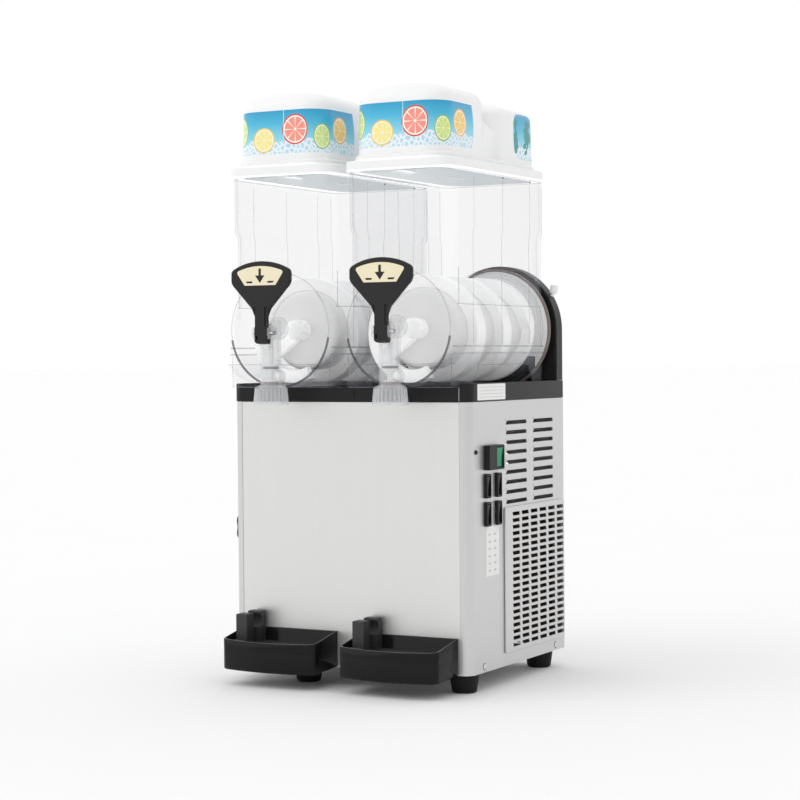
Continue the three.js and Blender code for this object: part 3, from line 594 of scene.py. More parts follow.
def screwHead(r):
    dome = turned([(0, 0), (r, 0), (r, 0.5), (r * 0.8, 1.3), (r * 0.4, 1.8), (0, 1.95)], "x", 24)
    return cut(dome, block(1, 3, -r * 0.7, r * 0.7, -0.5, 0.5), block(1, 3, -0.5, 0.5, -r * 0.7, r * 0.7))


def makeCabinet():
    c = cabinet
    half = c["half"] - c["corner"] - 0.3
    front = prism(roundedRect(-half, half, c["low"], c["top"], 0.8, None, 3), "y", 0, c["sheet"], 0.3)
    build("frontPanel", [front], "front", "cabinet", ["front_panel"])
    build("rightSidePanel", [sidePanelPart(True)], "side", "cabinet", ["right_side_panel"])
    left = mirrored(sidePanelPart(False))
    build("leftSidePanel", [left], "side", "cabinet", ["left_side_panel"])
    lips = louvreLips()
    build("louvreHoods", [*lips, *[mirrored(p) for p in lips]], "side", "cabinet", (), smooth=60)
    seam = [block(s * half - 0.1, s * (half + 0.4), 0.5, 1.4, c["low"], c["top"]) for s in (1, -1)]
    build("panelSeams", seam, "rubber", "cabinet")
    makeGrille()
    makeRearPanel()
    makeCabinetTrim()


grille = {"across": 6, "up": 21, "y": 148.5, "pitchY": 32, "z": 56, "pitchZ": 9.75}


def makeGrille():
    g = grille
    x0, x1, y0, y1, z0, z1 = boxOf("condenser_grille")
    tray = prism(roundedRect(y0, y1, z0, z1, 3, None, 4), "x", x0, x1, 0.9)
    pan = prism(roundedRect(y0 + 2, y1 - 2, z0 + 2, z1 - 2, 2, None, 4), "x", x0 - 1, x1 - 1.2)
    y, z = g["y"], g["z"]
    shape = [(y - 11, z - 2.8), (y + 13, z - 2.8), (y + 11, z + 2.8), (y - 13, z + 2.8)]
    first = prism(shape, "x", x0 - 2, x1 + 2)
    slots = rows(first, g["across"], g["up"], (0, g["pitchY"], 0), (0, 0, g["pitchZ"]), "side")
    build("intakeGrille", [cut(tray, pan, slots)], "side", "cabinet", ["condenser_grille"])


def makeRearPanel():
    c = cabinet
    sheet = block(*boxOf("rear_panel"))
    y0, y1 = boxOf("rear_panel")[2:4]
    x, _, z = middleOf("power_inlet")
    tools = [block(x - 18, x + 18, y0 - 2, y1 + 2, z - 11, z + 11)]
    for centre in c["rearVents"]:
        shape = roundedRect(centre - 36, centre + 36, c["slotTop"] - 3.5, c["slotTop"] + 3.5, 3.4, None, 6)
        first = prism(shape, "y", y0 - 2, y1 + 2)
        tools.append(rows(first, 1, 6, (0, 0, 0), (0, 0, -c["slotPitch"]), "steel"))
    build("rearPanel", [cut(sheet, *tools)], "side", "cabinet", ["rear_panel"])
    flange = prism(roundedRect(x - 24, x + 24, z - 14, z + 14, 4), "y", y1 + 0.3, y1 + 3.3, 0.5)
    body = block(x - 17, x + 17, y1 - 27.7, y1 + 1, z - 10, z + 10, 1)
    socket = prism(roundedRect(x - 12, x + 12, z - 7, z + 7, 3), "y", y1 - 17.7, y1 + 5)
    build(
        "powerInlet", [cut(joined(flange, body), socket)], "black", "cabinet", ["power_inlet"],
    )
    pins = []
    for px, pz in ((x - 6, z - 1), (x, z + 2), (x + 6, z - 1)):
        pins.append(block(px - 1, px + 1, y1 - 18, y1 - 2, pz - 2.2, pz + 2.2, 0.3))
    build("inletPins", pins, "bright", "cabinet")


trim = {
    "screw": 4.5, "screwY": 45, "screwZ": 35.6, "screwStep": (0, 251.5, 0.4),
    "rearScrew": (-186, 45), "rearStep": (372, 355),
    "footNames": ("front_left", "front_right", "rear_left", "rear_right"),
}


def makeCabinetTrim():
    c, t = cabinet, trim
    head = screwHead(t["screw"])
    first = moved(head, c["half"], t["screwY"], t["screwZ"])
    low = rows(first, 2, 1, t["screwStep"], (0, 0, 0), "bright")
    build("panelScrews", [low, mirrored(low)], "screw", "cabinet")
    # painted shade: a thin black ring round each side screw head stands in for the shade under it
    shadeRing = turned([(4.4, 0), (5.3, 0), (5.3, 0.25), (4.4, 0.25)], "x", 24)
    shadeRing = moved(shadeRing, c["half"], t["screwY"], t["screwZ"])
    shadeRings = rows(shadeRing, 2, 1, t["screwStep"], (0, 0, 0), "black")
    build("screwShadeRings", [shadeRings, mirrored(shadeRings)], "rubber", "cabinet")
    back = turnedBy(head, Matrix.Rotation(math.radians(90), 3, "Z"))
    (x, z), (stepX, stepZ) = t["rearScrew"], t["rearStep"]
    rear = rows(moved(back, x, c["depth"] - 0.5, z), 2, 2, (stepX, 0, 0), (0, 0, stepZ), "bright")
    build("rearScrews", [rear], "bright", "cabinet")
    pin = turned([(0, 0), (3.2, 0), (3.2, 1.6), (2.4, 2.4), (0, 2.6)], "x", 24)
    build("sidePin", [moved(pin, c["half"], 20, 347.5)], "black", "cabinet")
    x = c["half"]
    plate = prism(roundedRect(52, 95, 165.5, 238, 2, None, 4), "x", x, x + 0.35)
    build("ratingPlate", [plate], "label", "cabinet")
    deckPlate = prism(roundedRect(25, 118, 422, 445.5, 1.5, None, 4), "x", x + 0.9, x + 1.25)
    build("deckLabel", [deckPlate], "label", "cabinet")
    cell = block(x + 0.3, x + 0.42, 60, 67, 172, 175)
    cells = rows(cell, 2, 6, (0, 18, 0), (0, 0, 10.5), "grey")
    line = block(x + 1.2, x + 1.32, 32, 110, 426, 426.7)
    lines = rows(line, 1, 4, (0, 0, 0), (0, 0, 4.8), "grey")
    build("labelRules", [cells, lines], "grey", "cabinet")
    profile = [(0, 0), (15.5, 0), (17, 0.8), (18.3, 2.5), (21.4, 24), (22, 25.2), (22, 27), (0, 27)]
    for name in t["footNames"]:
        x, y, _ = middleOf("foot_" + name)
        foot = moved(turned(profile, "z", 56), x, y, 0)
        piece = "foot" + "".join(word.capitalize() for word in name.split("_"))
        build(piece, [foot], "rubber", "cabinet", ["foot_" + name])


deck = {
    "half": 201, "front": -1, "rear": 331, "low": 420, "rim": 447, "lip": 441, "floor": 436, "corner": 17
}


def makeDeck():
    d = deck
    shape = roundedRect(-d["half"], d["half"], d["front"], d["rear"], d["corner"], 4, 12)
    outer = prism(shape, "z", d["low"], d["rim"], 0.8)
    under = prism(
        roundedRect(-d["half"] + 3, d["half"] - 3, d["front"] + 3, d["rear"] - 3, d["corner"] - 3, 2, 12),
        "z", d["low"] - 1, d["floor"] - 4,
    )
    well = prism(roundedRect(-196.5, 196.5, 3, 326.5, 12, 2, 8), "z", d["floor"], d["rim"] + 1)
    lip = block(-186.5, 186.5, d["front"] - 1, 6, d["lip"], d["rim"] + 1)
    holes = [block(x - 20, x + 20, 311, 324, 425, 440) for x in bowlX.values()]
    body = cut(outer, under, well, lip, *holes)
    seams = [
        block(px, px + 0.7, d["front"], d["front"] + 0.6, d["low"] + 1, d["lip"] - 1) for px in (12, 184)
    ]
    build("deckSeams", seams, "grey", "cabinet")
    build("topDeck", [body], "black", "cabinet", ["top_deck"], bevel=0.6)


def doubleArch(radius, half, low, valley, steps=36):
    pitch = bowlX["right"]
    start = math.degrees(math.acos(min(1, (half - pitch) / radius)))
    inner = math.degrees(math.asin((valley - axisZ) / radius))
    return [
        (-half, low), (half, low), *arc(pitch, axisZ, radius, start, 180 - inner, steps),
        *arc(-pitch, axisZ, radius, inner, 180 - start, steps),
    ]


housing = {
    "front": 306.3, "back": 330, "half": 200, "radius": 100, "wall": 4, "low": 447.3, "valley": 556,
    "coverBack": 396,
    "screwReach": 102.5, "screwAngle": 60,
}


def makeHousing():
    h = housing
    outer = prism(
        doubleArch(h["radius"], h["half"], h["low"], h["valley"]), "y", h["front"], h["back"], 1.5
    )
    inner = doubleArch(
        h["radius"] - h["wall"], h["half"] - h["wall"], h["low"] - 1, h["valley"] - h["wall"]
    )
    hollow = prism(inner, "y", h["front"] + h["wall"], h["back"] + 1)
    bores = [moved(rod(8, h["front"] - 1, h["front"] + 6, "y"), x, 0, axisZ) for x in bowlX.values()]
    build(
        "rearHousing", [cut(outer, hollow, *bores)], "housing", "cabinet", ["rear_housing"]
    )
    edge = h["wall"] + 0.3
    flat = doubleArch(h["radius"] - edge, h["half"] - edge, h["low"] + 0.7, h["valley"] - edge)
    plate = prism(flat, "y", h["back"] - 4, h["back"] - 1)
    bulge = prism(doubleArch(60, 160, 462, 540), "y", h["back"] - 2, h["coverBack"], 3)
    inside = prism(doubleArch(57, 157, 465, 537), "y", h["back"] - 5, h["coverBack"] - 3)
    vents = []
    for x in bowlX.values():
        slot = prism(
            roundedRect(x - 30, x + 30, 490, 497, 3.4, None, 6), "y", h["coverBack"] - 6, h["coverBack"] + 1
        )
        vents.append(rows(slot, 1, 5, (0, 0, 0), (0, 0, 16), "housing"))
    cover = cut(joined(plate, bulge), inside, *vents)
    build("rearCover", [cover], "housing", "cabinet", ["rear_cover"])
    makeThumbScrews()


def makeThumbScrews():
    angle, reach = math.radians(housing["screwAngle"]), housing["screwReach"]
    for side, hand in (("left", -1), ("right", 1)):
        core = turned([(0, 0), (3.4, 0), (3.4, 4), (5, 5), (5.7, 17), (5, 18), (0, 18)], "z", 32)
        rib = block(4.6, 6.1, -0.5, 0.5, 5.4, 17, 0.2)
        screw = [core, around(rib, 18, "white")]
        x = hand * (bowlX["right"] + reach * math.sin(angle))
        y = middleOf("cover_screw_" + side)[1]
        place = Matrix.Translation((x, y, axisZ + reach * math.cos(angle)))
        tilt = place @ Matrix.Rotation(hand * math.radians(12), 4, "Y")
        parts = [turnedBy(part, tilt) for part in screw]
        build(
            "coverScrew" + side.capitalize(), parts, "white", "cabinet", ["cover_screw_" + side],
        )


def paintCad(node, finish):
    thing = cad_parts[node]
    thing.data.materials.clear()
    thing.data.materials.append(finishes[finish])


def makeInside():
    paintCad("base_plate", "steel")
    paintCad("compressor", "paintedBlack")
    paintCad("fan_motor", "paintedBlack")
    paintCad("fan_blade", "grey")
    for side in sides:
        paintCad("gearmotor_" + side, "paintedBlack")
    x0, x1, y0, y1, z0, z1 = boxOf("condenser")
    fin = block(x0 + 1, x1 - 0.2, y0 + 1, y0 + 1.6, z0 + 1, z1 - 1)
    fins = rows(fin, 50, 1, (0, (y1 - y0 - 3) / 49, 0), (0, 0, 0), "copper")
    tube = rod(4.5, y0, y1, "y", 20, 1)
    first = moved(tube, x0 + 9, 0, z0 + 14)
    tubes = rows(first, 2, 8, (13, 0, 0), (0, 0, (z1 - z0 - 28) / 7), "copper")
    ends = [block(x0, x1, y, y + 1.2, z0, z1, 0.2) for y in (y0, y1 - 1.2)]
    build("condenserCoil", [fins, tubes, *ends], "copper", "cabinet", ["condenser"], tidy=False)


auger = {"inner": 60.8, "outer": 79.5, "start": 14, "end": 262, "width": 30, "pitch": 88, "steps": 150}


def ribbonPart():
    a = auger
    rings = []
    w = a["width"] / 2
    section = [
        (a["inner"], -w * 0.6), (a["inner"] + 1, -w * 0.66), (a["outer"] - 2.5, -w * 0.97),
        (a["outer"] - 0.6, -w * 0.93),
        (a["outer"], -w * 0.8), (a["outer"], w * 0.8), (a["outer"] - 0.6, w * 0.93),
        (a["outer"] - 2.5, w * 0.97),
        (a["inner"] + 1, w * 0.66), (a["inner"], w * 0.6),
    ]
    for i in range(a["steps"] + 1):
        y = a["end"] - (a["end"] - a["start"]) * i / a["steps"]
        turn = 2 * math.pi * (a["end"] - y) / a["pitch"]
        end = min(i, a["steps"] - i) / 5
        slim = 1 if end >= 1 else 0.55 + 0.45 * math.sqrt(max(0, 1 - (1 - end) ** 2))
        rings.append([(r * math.cos(turn), y + dy * slim, r * math.sin(turn)) for r, dy in section])
    return loft(rings)


def makeAuger(side):
    x = bowlX[side]
    nut0, nut1 = boxOf("auger_nut_" + side)[2:4]
    hubRear = nut1 + 14
    armY = (nut1 + hubRear) / 2
    turn = 2 * math.pi * (auger["end"] - armY) / auger["pitch"]
    arm = block(12, auger["outer"] - 2, armY - 5, armY + 5, -12, 12, 2.5)
    arm = turnedBy(arm, Matrix.Rotation(-turn, 3, "Y"))
    hub = turned([(6.3, nut1 + 0.3), (15, nut1 + 0.3), (15, hubRear), (6.3, hubRear)], "y", 48)
    back = turned([(62.5, 258), (79.5, 258), (79.5, 269), (78.5, 270), (62.5, 270)], "y", 96)
    parts = [moved(p, x, 0, axisZ) for p in (ribbonPart(), arm, hub, back)]
    name = side.capitalize()
    body = "auger_body_" + side
    build("augerRibbon" + name, parts, "auger", body, ["auger_" + side], smooth=40)
    nose = [(0, nut0)]
    for i in range(1, 9):
        a = math.radians(90 * i / 8)
        nose.append((15.5 * math.sin(a), nut0 + 12 * (1 - math.cos(a))))
    nose += [(15.5, nut1), (0, nut1)]
    flute = rod(1.6, nut0 + 6, nut1 - 1, "z", 10)
    flutes = turnedBy(around(moved(flute, 15.2, 0, 0), 10, "white"), toAxis["y"])
    cap = cut(turned(nose, "y", 56), flutes)
    build(
        "augerNut" + name, [moved(cap, x, 0, axisZ)], "auger", body, ["auger_nut_" + side]
    )
    shaft = rod(6, *boxOf("auger_shaft_" + side)[2:4], "y", 32, 0.6)
    build(
        "augerShaft" + name, [moved(shaft, x, 0, axisZ)], "bright", body, ["auger_shaft_" + side],
    )


def makeDrum(side):
    x = bowlX[side]
    y0, y1 = boxOf("evaporator_" + side)[2:4]
    edge = [
        (50 + 10 * math.sin(math.radians(t)), y0 + 10 - 10 * math.cos(math.radians(t)))
        for t in range(0, 91, 10)
    ]
    profile = [(9, y0), *edge, (60, y1 - 8.2), (58, y1 - 8.2), (58, y0 + 12), (49, y0 + 2), (9, y0 + 2)]
    drum = turned(profile, "y", 96)
    name = side.capitalize()
    build(
        "coolingDrum" + name, [moved(drum, x, 0, axisZ)], "drum", "cabinet", ["evaporator_" + side],
    )
    flange = turned([(58, y1 - 8), (89, y1 - 8), (90, y1 - 7), (90, y1), (58, y1)], "y", 96)
    build("drumFlange" + name, [moved(flange, x, 0, axisZ)], "housing", "cabinet")
    y0, y1 = boxOf("bowl_gasket_" + side)[2:4]
    below = block(x - 100, x + 100, 280, 320, 400, deck["lip"] + 0.3)
    # the light lip inside the seal stops short at the bottom, where the black back shows
    lip = turned([(66, y0 + 1), (67, y0), (91, y0), (91, y1), (66, y1)], "y", 96)
    opening = block(x - 70, x + 70, 280, 320, 400, axisZ - 42)
    build("sealLip" + name, [cut(moved(lip, x, 0, axisZ), below, opening)], "white", "cabinet")
    seal = turned([(91.2, y0), (94, y0), (95, y0 + 1), (95, y1 - 1), (94, y1), (91.2, y1)], "y", 96)
    seal = cut(moved(seal, x, 0, axisZ), below)
    build("bowlSeal" + name, [seal], "seal", "cabinet", ["bowl_gasket_" + side])


bowl = {
    "half": 88.5, "lowHalf": 85, "front": -30, "rear": 295, "step": 668, "top": 754.7, "wall": 3,
    "radius": 85, "barrelFront": -26, "barrelRear": 284,
    "railLow": 490, "railHigh": 501, "skirtLow": 441.3, "outletZ": 458, "ribs": (44.6, 140, 236),
}


def planRing(inset, half, z):
    b = bowl
    back = b["half"] - half + inset
    shape = roundedRect(
        -half + inset, half - inset, b["front"] + back, b["rear"] - back, 30 - inset, 20 - inset, 10
    )
    return [(px, py, z) for px, py in shape]


def hopperPart(inset, low, high):
    b = bowl
    lift = inset
    rings = [
        planRing(inset, b["lowHalf"], low), planRing(inset, b["lowHalf"], b["step"] - 8 + lift),
        planRing(inset, 85.8, b["step"] - 3 + lift), planRing(inset, 87.7, b["step"] + 3 + lift),
        planRing(inset, b["half"], b["step"] + 8 + lift), planRing(inset, b["half"], high - 1),
        planRing(inset, b["half"], high),
    ]
    return loft(rings)


def barrelPart(r, low, high, soft=1.2):
    return moved(rod(r, low, high, "y", 96, soft), 0, 0, axisZ)


def apronPart(inset, lift):
    rings = []
    for z, half, depth in ((449, 52, 9), (455, 68, 12.5), (464, 82, 17.5), (476, 91, 21)):
        points = []
        for i in range(33):
            a = math.pi * (1 + i / 32)
            points.append(((half - inset) * math.cos(a), -24.5 + (depth - inset) * math.sin(a), z + lift))
        rings.append(points)
    return loft(rings)


def makeBowl(side):
    b, x = bowl, bowlX[side]
    r, wall = b["radius"], b["wall"]
    outer = joined(hopperPart(0, axisZ, b["top"]), barrelPart(r, b["barrelFront"], b["barrelRear"]))
    inner = joined(
        hopperPart(wall, axisZ, b["top"] + 1),
        barrelPart(r - wall, b["barrelFront"] + wall, b["barrelRear"] + 20, 0)
    )
    past = barrelPart(r - 1, b["barrelFront"] - 5, b["barrelRear"] + 5, 0)
    rails = cut(
        block(-88, 88, b["barrelFront"] + 1, b["barrelRear"], b["railLow"], b["railHigh"], 0.8), past
    )
    skirtOuter = block(-r, r, b["barrelFront"] + 2, b["barrelRear"], b["skirtLow"], axisZ)
    skirtInner = block(
        -r + wall, r - wall, b["barrelFront"] + 2 + wall, b["barrelRear"] + 1, 400, b["railLow"] + 1
    )
    arch = [
        (30, 430), (261, 430), *bend((248, 456), (242, 474.5), (228, 474.5), 6),
        *bend((74, 474.5), (60, 474.5), (54, 466), 6)
    ]
    skirt = cut(skirtOuter, skirtInner, prism(arch, "x", -120, 120), past)
    ring = turned([(82, 282), (95, 282), (96, 283), (96, 291), (95, 292), (82, 292)], "y", 96)
    collar = cut(moved(ring, 0, 0, axisZ), block(-100, 100, 270, 300, 400, b["skirtLow"]))
    tube = moved(rod(15.8, 400, 500), 0, -51, 0)
    channel = moved(rod(11.3, -51, b["barrelFront"] - 0.5, "y"), 0, 0, b["outletZ"])
    apron = cut(apronPart(0, 0), apronPart(1.8, 1.8), tube, channel)
    ribs = [
        block(*sorted((s * 84.5, s * 86.3)), y - 1.2, y + 1.2, 503, 660) for y in b["ribs"] for s in (1, -1)
    ]
    belts = [block(*sorted((s * 84.5, s * 86)), -5, 276, 559, 563) for s in (1, -1)]
    outlet = moved(rod(8, b["barrelFront"] - 4, b["barrelFront"] + 6, "y", 24), 0, 0, b["outletZ"])
    shell = cut(joined(cut(outer, inner), rails, skirt, collar, apron, *ribs, *belts), outlet)
    name = side.capitalize()
    build("bowl" + name, [moved(shell, x)], "clear", "bowl_body_" + side, ["bowl_" + side])
    makeBowlEdges(side)


edges = {
    "disc": (84.4, -26.3), "thin": 0.45, "thick": 1.9, "belt": 561, "ribTop": 746,
    "pointRib": (-2, 562, 614),
    "cutout": [
        (-0.5, 442), (36, 442), (52, 458), (64, 473.5), (232, 473.5), (246, 458), (256, 442), (284, 442)
    ],
}


def ringPath(r, y, start=0, end=360, steps=72):
    angles = [math.radians(start + (end - start) * i / steps) for i in range(steps + 1)]
    return [(r * math.cos(a), y, axisZ + r * math.sin(a)) for a in angles]


def makeBowlEdges(side):
    # painted shade: darker, hazier beads along the thick places of the clear plastic (rims, rails, ribs and
    # the round front's edge) stand in for the way light bends through them
    b, e, x = bowl, edges, bowlX[side]
    thin = e["thin"]
    r, y = e["disc"]
    parts = [cordOf(ringPath(r, y)[:-1], 0.7, True)]
    # the two dark arcs low on the front disc's edge are painted shade
    arcs = [
        moved(cordOf(ringPath(r, y, 190, 262, 30), e["thick"]), x),
        moved(cordOf(ringPath(r, y, 278, 352, 30), e["thick"]), x)
    ]
    build("discEdge" + side.capitalize(), arcs, "discEdge", "bowl_body_" + side, tidy=False, smooth=80)
    parts += [cordOf(ringPath(95.3, 291)[:-1], 0.5, True), cordOf(ringPath(88, 283)[:-1], 0.5, True)]
    parts.append(cordOf([(px, py, b["top"] - 1.5) for px, py, _ in planRing(0, 88.2, 0)], thin, True))
    for s in (1, -1):
        for z in (b["railLow"] + 0.6, b["railHigh"] - 0.6):
            parts.append(cordOf([(s * 87.4, -24, z), (s * 87.4, 283, z)], 1.3))
        parts.append(cordOf([(s * 86, -5, e["belt"]), (s * 86, 276, e["belt"])], 0.7))
        for ribY in (*b["ribs"], 279):
            line = [
                (s * 86, ribY, 503), (s * 86, ribY, 661), (s * 88.2, ribY, 673),
                (s * 88.2, ribY, e["ribTop"])
            ]
            parts.append(cordOf(line, thin))
        ribY, z0, z1 = e["pointRib"]
        parts.append(cordOf([(s * 86, ribY, z0), (s * 86, ribY, z1)], 0.8))
        parts.append(cordOf([(s * 84.6, py, pz) for py, pz in e["cutout"]], 0.6))
        parts.append(
            cordOf([(s * 84.4, b["barrelFront"] + 2.5, 442), (s * 84.4, b["barrelFront"] + 2.5, 488)], 0.6)
        )
    parts.append(cordOf([(-84.4, b["barrelFront"] + 2.5, 442), (84.4, b["barrelFront"] + 2.5, 442)], 0.6))
    rim = []
    for i in range(33):
        a = math.pi * (1 + i / 32)
        rim.append((90.4 * math.cos(a), -24.5 + 20.4 * math.sin(a), 475.6))
    parts.append(cordOf(rim, 0.6))
    name = side.capitalize()
    build(
        "bowlEdges" + name, [moved(part, x) for part in parts], "clearEdge", "bowl_body_" + side,
        tidy=False, smooth=80
    )
    pegs = [moved(rod(1.4, 0, 1.2, "x", 16, 0.3), x + 88.4, y, 750) for y in (140, 236)]
    build("rimPegs" + name, pegs, "black", "bowl_body_" + side)


tap = {
    "y": -51, "tube": 15.5, "bore": 12.5, "spoutLow": 416, "spoutTop": 442, "top": 541, "pivotY": -73,
    "pivotZ": 522
}


def makeTap(side):
    t, x = tap, bowlX[side]
    name, body = side.capitalize(), "bowl_body_" + side
    profile = [
        (26, t["spoutLow"]), (26.5, t["spoutLow"] + 1), (24, t["spoutTop"] - 1), (22, t["spoutTop"] + 1),
        (t["tube"], t["spoutTop"] + 4),
        (t["tube"], t["top"] - 0.6), (t["tube"] - 0.6, t["top"]), (t["bore"], t["top"]),
        (t["bore"], t["spoutTop"] + 3),
        (21, t["spoutTop"] - 3), (23, t["spoutLow"]),
    ]
    tube = moved(turned(profile, "z", 64), 0, t["y"], 0)
    back = bowl["barrelFront"] - 0.8

    def along(r, z, low=t["y"] + 14):
        return moved(rod(r, low, back, "y", 40, 0.5), 0, 0, z)

    ears = [
        prism(
            roundedRect(t["pivotY"] - 6, t["y"] - 9, t["pivotZ"] - 9, t["pivotZ"] + 9, 5), "x",
            *sorted((11.4 * s, 15 * s))
        )
        for s in (1, -1)
    ]
    whole = joined(tube, along(12, 529), along(17, 529, -33), along(11, bowl["outletZ"]), *ears)
    slot = block(-11.4, 11.4, t["pivotY"] - 8, t["y"], 500, t["top"] + 1)
    pinHole = moved(rod(2.7, -20, 20, "x", 24), 0, t["pivotY"], t["pivotZ"])
    channel = moved(rod(8, t["y"] + 8, back + 1, "y", 24), 0, 0, bowl["outletZ"])
    flute = prism(
        [
            (23.9, t["spoutLow"] + 1), (25.9, t["spoutLow"] + 1), (24, t["spoutTop"] - 2),
            (22.5, t["spoutTop"] - 2)
        ],
        "y", -0.8, 0.8
    )
    flutes = moved(around(flute, 24, "clearTap"), 0, t["y"], 0)
    tapPart = cut(whole, slot, pinHole, channel)
    build(
        "tapBody" + name, [moved(tapPart, x), moved(flutes, x)], "clearTap", body, ["tap_body_" + side],
    )
    pin = moved(rod(2.4, -17, 17, "x", 24, 0.5), x, t["pivotY"], t["pivotZ"])
    build("handlePin" + name, [pin], "bright", body, ["handle_pin_" + side])
    makePlunger(side)
    makeHandle(side)


def makePlunger(side):
    t, x = tap, bowlX[side]
    low = t["pivotZ"] + 3.3
    name, body = side.capitalize(), "plunger_body_" + side
    stem = turned([
        (0, 450), (10.5, 450), (11, 451), (4, 453), (4, 466), (11.2, 466.5), (11.2, 469), (10.2, 469.4),
        (10.2, 472.6),
        (11.2, 473), (11.2, 475.5), (4, 476), (4, low), (10.6, low), (11, low + 0.6), (11, low + 5),
        (10, low + 6), (5, low + 6), (5, low + 10), (4, low + 11), (0, low + 11),
    ], "z", 48)
    build(
        "tapPlunger" + name, [moved(stem, x, t["y"], 0)], "white", body, ["tap_plunger_" + side],
    )
    seal = turned([(0, 445), (11.2, 445), (11.9, 445.8), (11.9, 449.2), (11.2, 450), (0, 450)], "z", 48)
    build("tapSeal" + name, [moved(seal, x, t["y"], 0)], "seal", body)
    ring = turned(
        [(10.2, 469.4), (11.6, 469.6), (12.1, 470.4), (12.1, 471.6), (11.6, 472.4), (10.2, 472.6)], "z", 48
    )
    build("tapRing" + name, [moved(ring, x, t["y"], 0)], "ring", body)


def handleShape():
    half = boxOf("tap_handle_right")[1] - bowlX["right"]
    z = tap["pivotZ"]
    right = [
        (10.5, z + 4), (10.5, 546), (15.5, 557.5), (43, 586.5),
        *bend((43, 586.5), (half, 593), (half, 599), 6), (half, 608),
        *bend((half, 608), (half, 613.5), (45, 616), 6), *bend((45, 616), (25, 626.6), (0, 626.8), 12),
    ]
    left = [(-px, pz) for px, pz in reversed(right[:-1])]
    return right + left


def makeHandle(side):
    t, x = tap, bowlX[side]
    name, body = side.capitalize(), "handle_body_" + side
    front = t["pivotY"] - 6
    blade = prism(handleShape(), "y", front, front + 8, 1.4)
    rib = block(-7.5, 7.5, front + 0.5, t["pivotY"] + 5, t["pivotZ"], 574, 1)
    groove = [
        block(*sorted((7 * s, 12 * s)), front - 1, front + 1.6, t["pivotZ"] + 10, 560) for s in (1, -1)
    ]
    hub = block(-10.5, 10.5, front, t["pivotY"] + 5, t["pivotZ"] - 14, t["pivotZ"] + 9, 1.2)
    foot = prism(
        [(front + 1, 507), (-67.5, 505.5), (-66, 508), (-69, 519), (front + 1, 519)], "x", -9.5, 9.5, 0.8
    )
    fingers = [
        block(
            *sorted((5.2 * s, 9.2 * s)), t["pivotY"], t["pivotY"] + 23, t["pivotZ"] - 3, t["pivotZ"] + 3,
            0.5
        )
        for s in (1, -1)
    ]
    hole = moved(rod(2.7, -20, 20, "x", 24), 0, t["pivotY"], t["pivotZ"])
    window = block(-8.2, -5.6, front - 1, front + 9, t["pivotZ"] - 10, t["pivotZ"] - 4)
    part = cut(joined(blade, rib, hub, foot, *fingers), hole, window, *groove)
    build(
        "tapHandle" + name, [moved(part, x)], "handle", body, ["tap_handle_" + side],
        bevel=0.5
    )
    shape = [
        (-26.5, 591.5), (26.5, 591.5), (38.5, 608.5), *bend((38.5, 608.5), (40, 612), (36, 613.4), 4),
        *bend((36, 613.4), (0, 626), (-36, 613.4), 16), *bend((-36, 613.4), (-40, 612), (-38.5, 608.5), 4),
    ]
    plate = prism(shape, "y", front - 0.35, front + 0.5, 0.15)
    build("handleInlay" + name, [moved(plate, x)], "cream", body)
    arrow = [(-2, 616), (2, 616), (2, 606), (8, 606), (0, 595), (-8, 606), (-2, 606)]
    sign = [prism(arrow, "y", front - 0.5, front - 0.2)]
    sign += [
        prism(
            [(s * 13, 595), (s * 22, 595), (s * 24, 597.6), (s * 13, 597.6)], "y", front - 0.5, front - 0.2
        )
        for s in (1, -1)
    ]
    build("handleArrow" + name, [moved(p, x) for p in sign], "handle", body)


lid = {
    "low": 755, "rim": 770, "half": 89.5, "front": -32, "rear": 298, "rimRadius": 22, "domeHalf": 76,
    "top": 881, "wallTop": 852, "rearTop": 868, "saddleTop": 826, "saddleY": 148,
}


def domeSection(y, width, top, wallTop, base, steps=16):
    # upright sides that slope in a little, then a soft shoulder and a crowned top
    drop = max(7, top - wallTop)
    points = [(width, y, base)]
    for i in range(steps + 1):
        t = math.pi / 2 * i / steps
        px = (width - 2.2) * math.cos(t) ** 0.78
        points.append((px, y, top - drop + drop * math.sin(t) ** 0.78))
    return points + [(-px, py, pz) for px, py, pz in reversed(points[:-1])]


def corner(distance, r):
    return r - math.sqrt(max(0, r * r - (r - min(distance, r)) ** 2))


def domePart(inset, y0, y1, top, wallTop, base, rFront, rRear, slope):
    # sections of a rounded box swept back, closing down at both ends
    length = y1 - y0
    spots = [0, 0.5, 1.5, 3, 5, 8, 11.5, 15.5, 20, 25, 31, 38, 46, 54]
    distances = [*spots, length / 2, *[length - s for s in reversed(spots)]]
    sections = []
    for d in distances:
        front, rear = d, length - d
        width = lid["domeHalf"] - inset - corner(front, rFront) - corner(rear, rRear)
        height = top - inset - corner(front, 44) * 0.6 - corner(rear, slope) * 0.8
        sections.append(domeSection(y0 + d, width, height, wallTop - inset, base))
    return loft(sections)


def domesPart(inset, base):
    d = lid
    front = domePart(
        inset, d["front"] + 3 + inset, d["saddleY"] + 10 - inset, d["top"], d["wallTop"], base, 36, 72, 60
    )
    rear = domePart(
        inset, d["saddleY"] - 12 + inset, d["rear"] - inset, d["rearTop"], d["wallTop"] - 8, base, 34, 34,
        27
    )
    bridge = 71 - inset
    shape = [
        (d["saddleY"] - 42, base), (d["saddleY"] + 42, base),
        (d["saddleY"] + 42, d["saddleTop"] + 8 - inset),
        *bend(
            (d["saddleY"] + 22, d["saddleTop"] + 6 - inset), (d["saddleY"], d["saddleTop"] - 6 - inset),
            (d["saddleY"] - 22, d["saddleTop"] + 6 - inset), 10),
        (d["saddleY"] - 42, d["saddleTop"] + 8 - inset),
    ]
    return joined(front, rear, prism(shape, "x", -bridge, bridge, 5))


